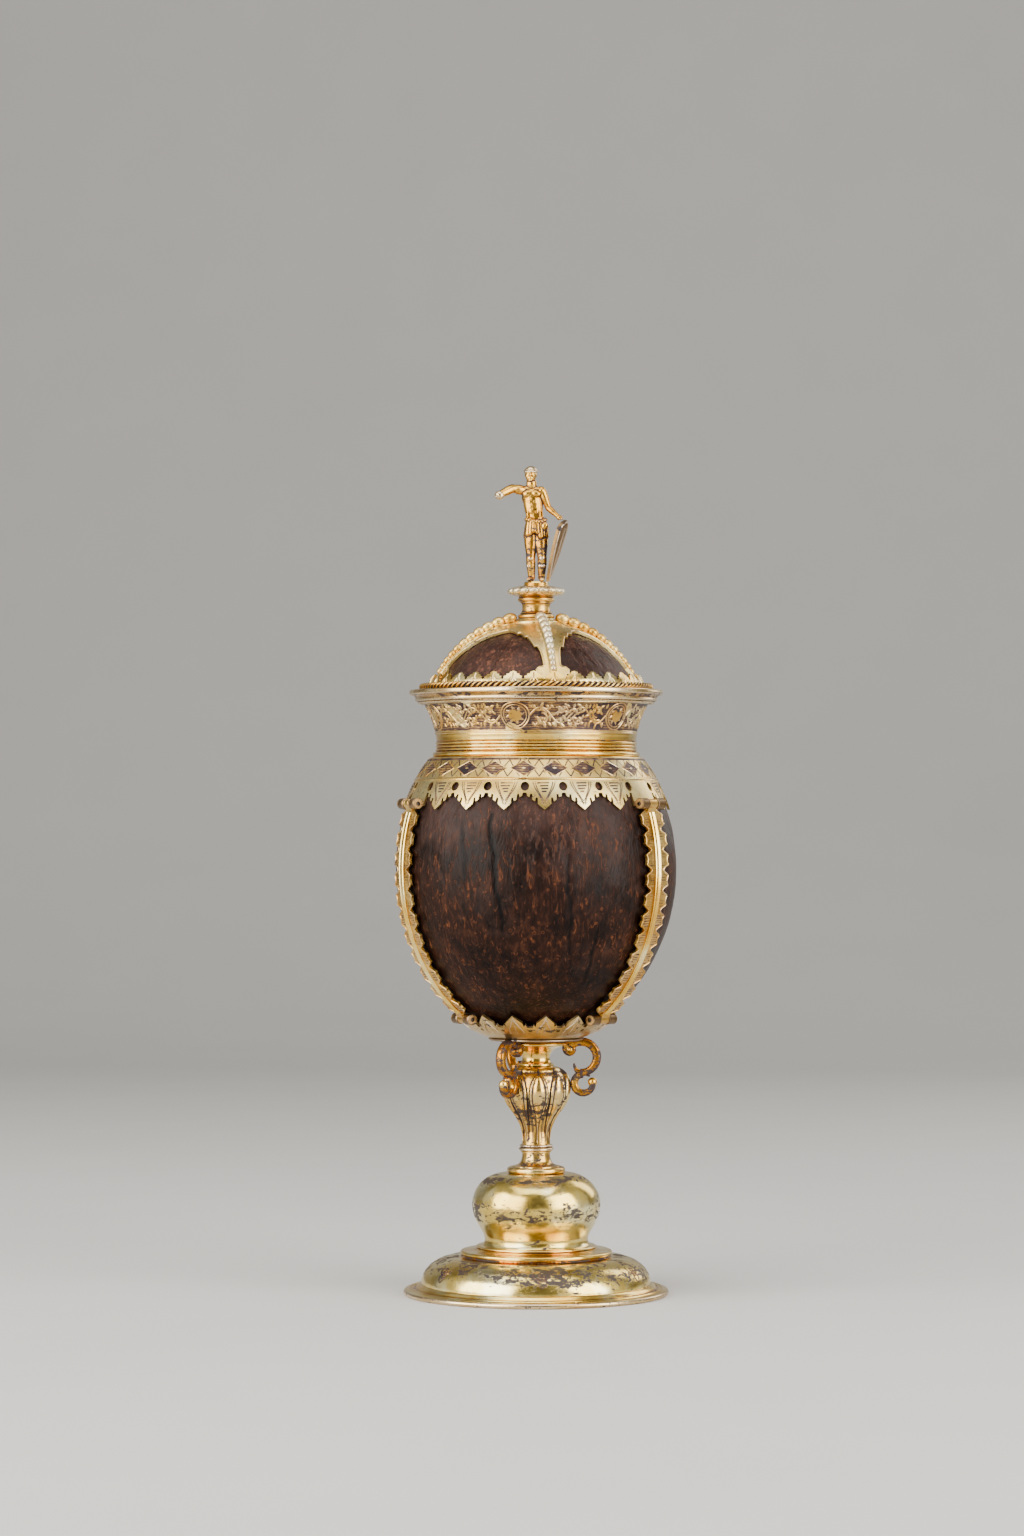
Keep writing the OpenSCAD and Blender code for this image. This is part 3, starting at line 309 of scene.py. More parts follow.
def cut_sheet(outline, holes, place, h0, h1, grid=1.0):
    """A sheet cut to an outline with holes, laid between heights h0 and h1 on a curved place."""
    loops = [filled(list(loop) + [loop[0]], grid)[:-1] for loop in [outline] + list(holes)]
    verts, edges = [], []
    for loop in loops:
        base = len(verts)
        verts += [Vector(p) for p in loop]
        edges += [(base + i, base + (i + 1) % len(loop)) for i in range(len(loop))]
    box = np.array(loops[0])
    lo, hi = box.min(0), box.max(0)
    rows = [(lo[0] + (i + 0.5 * (j % 2)) * grid, lo[1] + j * grid * 0.87)
            for j in range(1, int((hi[1] - lo[1]) / grid / 0.87) + 1)
            for i in range(1, int((hi[0] - lo[0]) / grid) + 1)]
    if rows:
        rows = np.array(rows)[left_over(rows, loops)]
        rim = np.array([v[:] for v in verts])
        for start in range(0, len(rows), 400):
            part = rows[start:start + 400]
            near = np.hypot(part[:, None, 0] - rim[None, :, 0], part[:, None, 1] - rim[None, :, 1]).min(1)
            verts += [Vector(p) for p in part[near > 0.45 * grid]]
    flat, _, tris, _, _, _ = geometry.delaunay_2d_cdt(verts, edges, [], 0, 1e-5)
    middle = [(sum((flat[i] for i in t), Vector((0, 0))) / 3)[:] for t in tris]
    tris = [list(t) for t, k in zip(tris, left_over(middle, loops)) if k]
    for t in tris:
        a, b, c = (flat[i] for i in t)
        if (b - a).cross(c - a) < 0:
            t.reverse()
    count = len(flat)
    used = {(t[i], t[(i + 1) % 3]) for t in tris for i in range(3)}
    sides = [(b, a, a + count, b + count) for a, b in used if (b, a) not in used]
    points = [place(p.x, p.y, h) for h in (h1, h0) for p in flat]
    return Shape(points, tris + [[i + count for i in reversed(t)] for t in tris] + sides)


ROUND = [(-0.5, -0.4), (0.5, -0.4), (0.5, 0.15), (0.34, 0.72), (0.0, 1.0), (-0.34, 0.72), (-0.5, 0.15)]


def raised(path, place, width, height, base=SHEET, closed=False, taper=None, section=ROUND):
    """A raised line along a flat path that is laid on a curved place. taper(t) scales it along its length."""
    n, m = len(path), len(section)
    points = []
    for i, p in enumerate(path):
        left = left_of(path, i, closed)
        s = taper(i / max(n - 1, 1)) if taper else 1
        points += [place(p[0] - w * width * s * left[0], p[1] - w * width * s * left[1], base + h * height * s)
                   for w, h in section]
    faces = skin(n, m, closed)
    if not closed:
        faces += [list(range(m - 1, -1, -1)), [(n - 1) * m + k for k in range(m)]]
    return Shape(points, [f[::-1] for f in faces])


def ball(centre, radii, turn=None, steps=20):
    """An egg shape about a centre."""
    rows = steps // 2
    points = [Vector((0, 0, -1))]
    for j in range(1, rows):
        b = math.pi * j / rows - math.pi / 2
        points += [Vector((math.cos(b) * math.cos(a), math.cos(b) * math.sin(a), math.sin(b)))
                   for a in even_turns(steps)]
    points.append(Vector((0, 0, 1)))
    spin = turn.to_matrix() if turn else Matrix.Identity(3)
    points = [Vector(centre) + spin @ Vector((p.x * radii[0], p.y * radii[1], p.z * radii[2])) for p in points]
    return Shape(points, capped(rows - 1, steps))


def capped(rows, across):
    """Faces of a closed form whose first and last points stand alone at its ends."""
    end = rows * across + 1
    faces = skin(rows, across, first=1)
    for i in range(across):
        k = (i + 1) % across
        faces += [[0, 1 + k, 1 + i], [end, end - across + i, end - across + k]]
    return faces


def upright(azimuth):
    """A matrix that takes (outward, sideways, up) to the frame at an azimuth."""
    return Matrix.Rotation(math.radians(azimuth - 90), 4, "Z")


def prism(outline, y0, y1):
    """An outline of (outward, up) points carried sideways from y0 to y1."""
    n = len(outline)
    faces = [list(range(n)), [2 * n - 1 - i for i in range(n)]]
    faces += [[(i + 1) % n, i, i + n, (i + 1) % n + n] for i in range(n)]
    return Shape([(p[0], y, p[1]) for y in (y0, y1) for p in outline], faces)


def tube(x, z, y0, y1, r, bore, turns=40):
    """A hinge tube across the outward direction, with eased ends and two turned lines."""
    ease, groove, inset = 0.22, 0.14, 0.75
    edge = [(bore, y0), (r - ease, y0), (r, y0 + ease)]
    for y in (y0 + inset, y1 - inset):
        edge += [(r, y - groove), (r - groove, y), (r, y + groove)]
    edge += [(r, y1 - ease), (r - ease, y1), (bore, y1)]
    made = lathe(edge, turns)
    made.points = [(x + p[0], p[2], z - p[1]) for p in made.points]
    return made


def outer_tubes(x, z):
    """The two outer knuckles of a hinge."""
    inner, outer = MIDDLE_L / 2 + KNUCKLE_GAP, BARREL_L / 2
    return tube(x, z, inner, outer, TUBE_R, BORE_R).join(tube(x, z, -outer, -inner, TUBE_R, BORE_R))


BAR = [(math.copysign(abs(math.cos(a)) ** 0.6, math.cos(a)), math.copysign(abs(math.sin(a)) ** 0.6, math.sin(a)))
       for a in (math.tau * (i + 0.5) / 16 for i in range(16))]


def bar(path, widths, thick):
    """A bent bar of rounded section along a path of (outward, up) points."""
    n, m = len(path), len(BAR)
    points = []
    for i, p in enumerate(path):
        left = left_of(path, i)
        w = np.interp(i / (n - 1), np.linspace(0, 1, len(widths)), widths) / 2
        t = min(thick / 2, 0.6 + w)
        points += [(p[0] + c * w * left[0], s * t, p[1] + c * w * left[1]) for c, s in BAR]
    ends = [list(range(m - 1, -1, -1)), [(n - 1) * m + k for k in range(m)]]
    return Shape(points, skin(n, m) + ends)


def limb(a, ra, b, rb, flat=1.0, rows=10, n=16):
    """A rounded limb between two places, with a swelling in its middle."""
    a, b = Vector(a), Vector(b)
    along = (b - a).normalized()
    side = along.cross(Vector((0, 1, 0)))
    side = side.normalized() if side.length > 0.01 else Vector((1, 0, 0))
    front = side.cross(along)
    rings = [(a + along * ra * t, ra * w) for t, w in ((-0.7, 0.7), (-0.35, 0.93))]
    for t in (k / rows for k in range(rows + 1)):
        swelling = 1 + 0.10 * math.sin(math.pi * min(1, 1.4 * t))
        rings.append((a.lerp(b, t), (ra + (rb - ra) * t) * swelling))
    rings += [(b + along * rb * t, rb * w) for t, w in ((0.35, 0.93), (0.7, 0.7))]
    points = [a - along * ra]
    for c, r in rings:
        points += [c + side * r * math.cos(q) + front * r * flat * math.sin(q) for q in even_turns(n)]
    return Shape(points + [b + along * rb], capped(len(rings), n))


def read(mesh, what):
    """The place or normal of each point of a mesh, as rows of three."""
    values = np.empty(len(mesh.vertices) * 3)
    mesh.vertices.foreach_get(what, values)
    return values.reshape(-1, 3)


def marked(mesh, name, values):
    """Stores a value at each point of a mesh for its material to read."""
    mesh.attributes.new(name, "FLOAT", "POINT").data.foreach_set("value", np.ravel(values).astype(np.float32))


def note_bends(mesh):
    """Stores how sharply the surface bends at each point, per millimetre: hollows are negative, edges positive."""
    n = len(mesh.vertices)
    at, out = read(mesh, "co") / MM, read(mesh, "normal")
    ends = np.empty(len(mesh.edges) * 2, int)
    mesh.edges.foreach_get("vertices", ends)
    a, b = ends.reshape(-1, 2).T
    gap = at[b] - at[a]
    far = (gap ** 2).sum(1) + 1e-6
    bend = np.bincount(a, -2 * (gap * out[a]).sum(1) / far, n) + np.bincount(b, 2 * (gap * out[b]).sum(1) / far, n)
    count = np.maximum(np.bincount(a, minlength=n) + np.bincount(b, minlength=n), 1)
    bend = np.clip(bend / count, -4, 4)
    for _ in range(3):
        bend = 0.5 * bend + 0.5 * (np.bincount(a, bend[b], n) + np.bincount(b, bend[a], n)) / count
    marked(mesh, "bend", bend)


def mended(mesh, merge=False, turn=False):
    """Merges a mesh's doubled points, or turns the faces of a closed one outward."""
    bm = bmesh.new()
    bm.from_mesh(mesh)
    if merge:
        bmesh.ops.remove_doubles(bm, verts=bm.verts, dist=1e-6)
    if turn:
        bmesh.ops.recalc_face_normals(bm, faces=bm.faces)
    bm.to_mesh(mesh)
    bm.free()


def as_mesh(shape, name, weld=True):
    """A mesh of a shape, in metres, with doubled points merged."""
    mesh = bpy.data.meshes.new(name)
    mesh.from_pydata([(x * MM, y * MM, z * MM) for x, y, z in shape.points], [], shape.faces)
    if weld:
        mended(mesh, merge=True)
    mesh.validate()
    return mesh


def placed(name, data):
    """A new object in the scene."""
    obj = bpy.data.objects.new(name, data)
    bpy.context.collection.objects.link(obj)
    return obj


def finished(mesh, name, finish, body, nodes=(), crease=38):
    """Makes a mesh a finished piece: shaded, marked for wear, tarnish and painted shade in hollows, in its material,
    riding on its body.
    """
    obj = placed(name, mesh)
    mesh.materials.clear()
    mesh.materials.append(finish)
    mesh.shade_smooth()
    mesh.set_sharp_from_angle(angle=math.radians(crease))
    if "bend" not in mesh.attributes:
        note_bends(mesh)
    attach(obj, body)
    if nodes:
        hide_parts(*nodes)
    return obj


def piece(shape, name, finish, body, nodes=(), crease=38):
    """A finished piece of a shape."""
    return finished(as_mesh(shape, name), name, finish, body, nodes, crease)


def evaluated(obj):
    """The plain mesh that an object's modifiers make. The object goes."""
    source = obj.data
    made = bpy.data.meshes.new_from_object(obj.evaluated_get(bpy.context.evaluated_depsgraph_get()))
    bpy.data.objects.remove(obj)
    bpy.data.meshes.remove(source)
    return made


# Node trees

def add(tree, kind, inputs=None, stops=(), **settings):
    """Adds a node with its settings, and sets or links its inputs: a node is linked by its first output.
    stops are the places and colours of a ramp."""
    node = tree.nodes.new(kind)
    for key, value in settings.items():
        setattr(node, key, value)
    for key, value in (inputs or {}).items():
        value = value.outputs[0] if isinstance(value, bpy.types.Node) else value
        if isinstance(value, bpy.types.NodeSocket):
            tree.links.new(value, node.inputs[key])
        else:
            node.inputs[key].default_value = value
    if stops:
        ramp = node.color_ramp.elements
        for mark, (place, tone) in ((ramp[0], stops[0]), (ramp[1], stops[-1])):
            mark.position, mark.color = place, tone
        for place, tone in stops[1:-1]:
            ramp.new(place).color = tone
    return node


def geometry_tree(name, numbers, counts=()):
    """A new geometry tree whose inputs are a mesh, named sizes and counts, and a finish."""
    tree = bpy.data.node_groups.new(name, "GeometryNodeTree")
    kinds = {"Geometry": "NodeSocketGeometry", **{label: "NodeSocketInt" for label in counts},
             **{label: "NodeSocketFloat" for label in numbers}, "Finish": "NodeSocketMaterial"}
    for label, kind in kinds.items():
        tree.interface.new_socket(label, in_out="INPUT", socket_type=kind)
    tree.interface.new_socket("Geometry", in_out="OUTPUT", socket_type="NodeSocketGeometry")
    return tree, add(tree, "NodeGroupInput").outputs


def end_tree(tree, source, made):
    """Ends a geometry tree in real meshes with its finish."""
    real = add(tree, "GeometryNodeRealizeInstances", {"Geometry": made})
    weld = add(tree, "GeometryNodeMergeByDistance", {"Geometry": real, "Distance": 2e-6})
    done = add(tree, "GeometryNodeSetMaterial", {"Geometry": weld, "Material": source["Finish"]})
    add(tree, "NodeGroupOutput", {"Geometry": done})
    return tree


def ring_tree():
    """Copies a mesh round the cup's axis."""
    tree, source = geometry_tree("Copies round the axis", ["First turn"], ["Copies"])
    spots = add(tree, "GeometryNodePoints", {"Count": source["Copies"]})
    number = add(tree, "GeometryNodeInputIndex")
    share = add(tree, "ShaderNodeMath", {0: number, 1: source["Copies"]}, operation="DIVIDE")
    turn = add(tree, "ShaderNodeMath", {0: share, 1: math.tau, 2: source["First turn"]}, operation="MULTIPLY_ADD")
    spin = add(tree, "ShaderNodeCombineXYZ", {"Z": turn})
    laid = add(tree, "GeometryNodeInstanceOnPoints",
               {"Points": spots, "Instance": source["Geometry"], "Rotation": spin})
    return end_tree(tree, source, laid)


def bead_tree():
    """Lays beads that grow smaller down a lid arm."""
    tree, source = geometry_tree("Beads down an arm", ["Largest", "Step", "Ball radius", "First angle", "Azimuth",
                                                       "Ball height"], ["Beads"])
    spots = add(tree, "GeometryNodePoints", {"Count": source["Beads"]})
    number = add(tree, "GeometryNodeInputIndex")
    shrink = add(tree, "ShaderNodeMath", {0: source["Step"], 1: number}, operation="POWER")
    size = add(tree, "ShaderNodeMath", {0: source["Largest"], 1: shrink}, operation="MULTIPLY")
    before = add(tree, "ShaderNodeMath", {0: size, 1: source["Step"]}, operation="DIVIDE")
    across = add(tree, "ShaderNodeMath", {0: size, 1: before}, operation="ADD")
    out = add(tree, "ShaderNodeMath", {0: size, 1: source["Ball radius"]}, operation="ADD")
    step = add(tree, "ShaderNodeMath", {0: across, 1: out}, operation="DIVIDE")
    snug = add(tree, "ShaderNodeMath", {0: step, 1: 0.96}, operation="MULTIPLY")
    later = add(tree, "FunctionNodeCompare", {2: number, 3: 0}, data_type="INT", operation="GREATER_THAN")
    gap = add(tree, "ShaderNodeMath", {0: snug, 1: later}, operation="MULTIPLY")
    run = add(tree, "GeometryNodeAccumulateField", {0: gap}, data_type="FLOAT")
    angle = add(tree, "ShaderNodeMath", {0: run, 1: source["First angle"]}, operation="ADD")
    spin = add(tree, "ShaderNodeCombineXYZ", {"Y": angle, "Z": source["Azimuth"]})
    sunk = add(tree, "ShaderNodeMath", {0: out, 1: -0.2 * MM}, operation="ADD")
    up = add(tree, "ShaderNodeCombineXYZ", {"Z": sunk})
    there = add(tree, "ShaderNodeVectorRotate", {"Vector": up, "Rotation": spin}, rotation_type="EULER_XYZ")
    middle = add(tree, "ShaderNodeCombineXYZ", {"Z": source["Ball height"]})
    moved = add(tree, "ShaderNodeVectorMath", {0: there, 1: middle}, operation="ADD")
    set_out = add(tree, "GeometryNodeSetPosition", {"Geometry": spots, "Position": moved})
    laid = add(tree, "GeometryNodeInstanceOnPoints",
               {"Points": set_out, "Instance": source["Geometry"], "Rotation": spin, "Scale": size})
    return end_tree(tree, source, laid)


def rope_tree():
    """Twists three strands into a rope that runs round the lid."""
    tree, source = geometry_tree("Twisted rope", ["Rope radius", "Strand radius", "Lay", "Height"], ["Turns"])
    steps = add(tree, "ShaderNodeMath", {0: source["Turns"], 1: ROPE_STEPS}, operation="MULTIPLY")
    ring = add(tree, "GeometryNodeCurvePrimitiveCircle", {"Resolution": steps, "Radius": source["Rope radius"]})
    number = add(tree, "GeometryNodeInputIndex")
    twist = add(tree, "ShaderNodeMath", {0: number, 1: -math.tau / ROPE_STEPS}, operation="MULTIPLY")
    tilted = add(tree, "GeometryNodeSetCurveTilt", {"Curve": ring, "Tilt": twist})
    spots = add(tree, "GeometryNodeMeshCircle", {"Vertices": 3, "Radius": source["Lay"]})
    strand = add(tree, "GeometryNodeCurvePrimitiveCircle", {"Resolution": 9, "Radius": source["Strand radius"]})
    three = add(tree, "GeometryNodeInstanceOnPoints", {"Points": spots, "Instance": strand})
    strands = add(tree, "GeometryNodeRealizeInstances", {"Geometry": three})
    swept = add(tree, "GeometryNodeCurveToMesh", {"Curve": tilted, "Profile Curve": strands})
    lift = add(tree, "ShaderNodeCombineXYZ", {"Z": source["Height"]})
    up = add(tree, "GeometryNodeTransform", {"Geometry": swept, "Translation": lift})
    return end_tree(tree, source, up)


def grown(tree, shape, name, finish, sizes):
    """The plain mesh that a geometry tree makes from a shape."""
    obj = placed(name + "_unit", as_mesh(shape, name + "_unit", weld=False))
    mod = obj.modifiers.new("made", "NODES")
    mod.node_group = tree
    keys = {item.name: item.identifier for item in tree.interface.items_tree if item.in_out == "INPUT"}
    for label, value in {**sizes, "Finish": finish}.items():
        mod[keys[label]] = value
    return evaluated(obj)


RING = ring_tree()


def ringed(shape, copies, name, finish, body, nodes=(), crease=38, first=0.0):
    """A piece made of copies of a shape round the axis."""
    made = grown(RING, shape, name, finish, {"Copies": copies, "First turn": math.radians(first)})
    return finished(made, name, finish, body, nodes, crease)


# Materials

def colour(code):
    """Linear colour of an sRGB hex value."""
    part = [int(code[i:i + 2], 16) / 255 for i in (1, 3, 5)]
    return tuple(c / 12.92 if c <= 0.04045 else ((c + 0.055) / 1.055) ** 2.4 for c in part) + (1.0,)


def per_mm(size):
    """Texture scale, in Object coordinates, of a pattern whose marks are size millimetres across."""
    return 1 / (size * MM)


def new_material(name):
    """A new material, its empty tree, and the Object coordinates that its patterns lie on."""
    made = bpy.data.materials.new(name)
    made.use_nodes = True
    tree = made.node_tree
    tree.nodes.clear()
    return made, tree, add(tree, "ShaderNodeTexCoord").outputs["Object"]


def surfaced(made, shader):
    """Ends a material in one principled shader, with plain values on its own sockets."""
    face = add(made.node_tree, "ShaderNodeBsdfPrincipled", shader)
    add(made.node_tree, "ShaderNodeOutputMaterial", {"Surface": face})
    return made


def gilt_silver(name, pale, yellow, amber, tarnish, rub, rough, gathers=()):
    """Silver with a fire-gilt skin, raised by hammer and burnished.
    The eye gets warm yellow that drifts to champagne and amber, painted shade that turns the gilt darker amber in
    hollows, purple-brown tarnish flecks that gather in hollows, and pinkish grey silver where handling has rubbed
    edges bare.
    gathers gives heights, and the share of tarnish that gathers at each."""
    made, tree, where = new_material(name)
    bend = add(tree, "ShaderNodeAttribute", attribute_name="bend").outputs["Fac"]
    # Hollows from the bend mark: they turn the gilt darker amber as painted shade, and gather tarnish.
    hollow_shade_and_tarnish = add(tree, "ShaderNodeMapRange", {"Value": bend, "From Min": -0.02, "From Max": -0.55})
    edge = add(tree, "ShaderNodeMapRange", {"Value": bend, "From Min": 0.25, "From Max": 1.3})
    drift = add(tree, "ShaderNodeTexNoise", {"Vector": where, "Scale": per_mm(16), "Detail": 4.0, "Roughness": 0.6})
    # Painted shade: hollows push the gilt's colour towards its darker amber.
    tone = add(tree, "ShaderNodeMath", {0: hollow_shade_and_tarnish, 1: 0.45, 2: drift}, operation="MULTIPLY_ADD")
    gilt = add(tree, "ShaderNodeValToRGB", {"Fac": tone},
               [(0.36, colour(pale)), (0.54, colour(yellow)), (0.82, colour(amber))])
    squash = add(tree, "ShaderNodeMapping", {"Vector": where, "Scale": (1.0, 1.0, 2.2)})
    patch = add(tree, "ShaderNodeTexNoise", {"Vector": where, "Scale": per_mm(13), "Detail": 2.0})
    fleck = add(tree, "ShaderNodeTexNoise", {"Vector": squash, "Scale": per_mm(3.0), "Detail": 6.0,
                                             "Roughness": 0.68, "Distortion": 0.5})
    dirt = add(tree, "ShaderNodeMath", {0: patch, 1: 0.5, 2: fleck}, operation="MULTIPLY_ADD")
    dirt = add(tree, "ShaderNodeMath", {0: hollow_shade_and_tarnish, 1: 0.22, 2: dirt}, operation="MULTIPLY_ADD")
    if gathers:
        lowest, highest = gathers[0][0], gathers[-1][0]
        height = add(tree, "ShaderNodeSeparateXYZ", {"Vector": where}).outputs["Z"]
        level = add(tree, "ShaderNodeMapRange", {"Value": height, "From Min": lowest * MM, "From Max": highest * MM})
        zone = add(tree, "ShaderNodeValToRGB", {"Fac": level},
                   [((z - lowest) / (highest - lowest), (share, share, share, 1)) for z, share in gathers])
        dirt = add(tree, "ShaderNodeMath", {0: zone, 1: 0.17, 2: dirt}, operation="MULTIPLY_ADD")
    stain = add(tree, "ShaderNodeMapRange", {"Value": dirt, "From Min": 0.95 - tarnish, "From Max": 0.972 - tarnish,
                                             "To Max": 0.97})
    bare = add(tree, "ShaderNodeMath", {0: patch, 1: 0.5, 2: rub}, operation="MULTIPLY_ADD")
    bare = add(tree, "ShaderNodeMath", {0: edge, 1: 0.6, 2: bare}, operation="MULTIPLY_ADD")
    worn = add(tree, "ShaderNodeMapRange", {"Value": bare, "From Min": 0.62, "From Max": 0.95, "To Max": 0.8})
    metal = add(tree, "ShaderNodeMix", {0: worn, 6: gilt, 7: colour("#cdbba6")}, data_type="RGBA").outputs[2]
    stained = add(tree, "ShaderNodeMix", {0: stain, 6: metal, 7: colour("#22151a")}, data_type="RGBA").outputs[2]
    bright = add(tree, "ShaderNodeMath", {0: stain, 1: -0.9, 2: 1.0}, operation="MULTIPLY_ADD")
    grit = add(tree, "ShaderNodeTexNoise", {"Vector": where, "Scale": per_mm(1.2), "Detail": 5.0})
    gloss = add(tree, "ShaderNodeMapRange", {"Value": grit, "From Min": 0.3, "From Max": 0.7,
                                             "To Min": rough - 0.03, "To Max": rough + 0.06})
    gloss = add(tree, "ShaderNodeMath", {0: stain, 1: 0.3, 2: gloss}, operation="MULTIPLY_ADD")
    planish = add(tree, "ShaderNodeTexNoise", {"Vector": where, "Scale": per_mm(7), "Detail": 2.0})
    relief = add(tree, "ShaderNodeMath", {0: grit, 1: 0.06, 2: planish}, operation="MULTIPLY_ADD")
    relief = add(tree, "ShaderNodeMath", {0: stain, 1: -0.15, 2: relief}, operation="MULTIPLY_ADD")
    bump = add(tree, "ShaderNodeBump", {"Height": relief, "Strength": 0.3, "Distance": 0.14 * MM})
    return surfaced(made, {"Base Color": stained, "Metallic": bright, "Roughness": gloss, "Normal": bump})


def engraved_ground(name, hatch):
    """Silver-gilt cut back with a graver and left dull behind raised ornament.
    The eye gets a purple-grey and brown ground, crossed by level bright strokes drawn 0.8 mm apart so that they show.
    A wave texture repeats every 0.314 units at scale 1."""
    made, tree, where = new_material(name)
    cloud = add(tree, "ShaderNodeTexNoise", {"Vector": where, "Scale": per_mm(5), "Detail": 5.0, "Roughness": 0.65})
    ground = add(tree, "ShaderNodeValToRGB", {"Fac": cloud},
                 [(0.38, colour("#2c2226")), (0.54, colour("#513d38")), (0.72, colour("#8a6638"))])
    stroke = add(tree, "ShaderNodeTexWave", {"Vector": where, "Scale": 0.314 * per_mm(0.8), "Distortion": 3.5,
                                             "Detail": 2.0, "Detail Scale": 0.6},
                 wave_type="BANDS", bands_direction="Z").outputs["Fac"]
    level = add(tree, "ShaderNodeMath", {0: cloud, 1: 1.4, 2: stroke}, operation="MULTIPLY_ADD")
    bright = add(tree, "ShaderNodeMapRange", {"Value": level, "From Min": 1.5 - hatch, "From Max": 1.75 - hatch,
                                              "To Max": 0.9})
    mixed = add(tree, "ShaderNodeMix", {0: bright, 6: ground, 7: colour("#c8a05c")}, data_type="RGBA").outputs[2]
    shine = add(tree, "ShaderNodeMapRange", {"Value": cloud, "To Min": 0.55, "To Max": 0.95})
    gloss = add(tree, "ShaderNodeMapRange", {"Value": cloud, "To Min": 0.32, "To Max": 0.5})
    bump = add(tree, "ShaderNodeBump", {"Height": stroke, "Strength": 0.4, "Distance": 0.08 * MM})
    return surfaced(made, {"Base Color": mixed, "Metallic": shine, "Roughness": gloss, "Normal": bump})


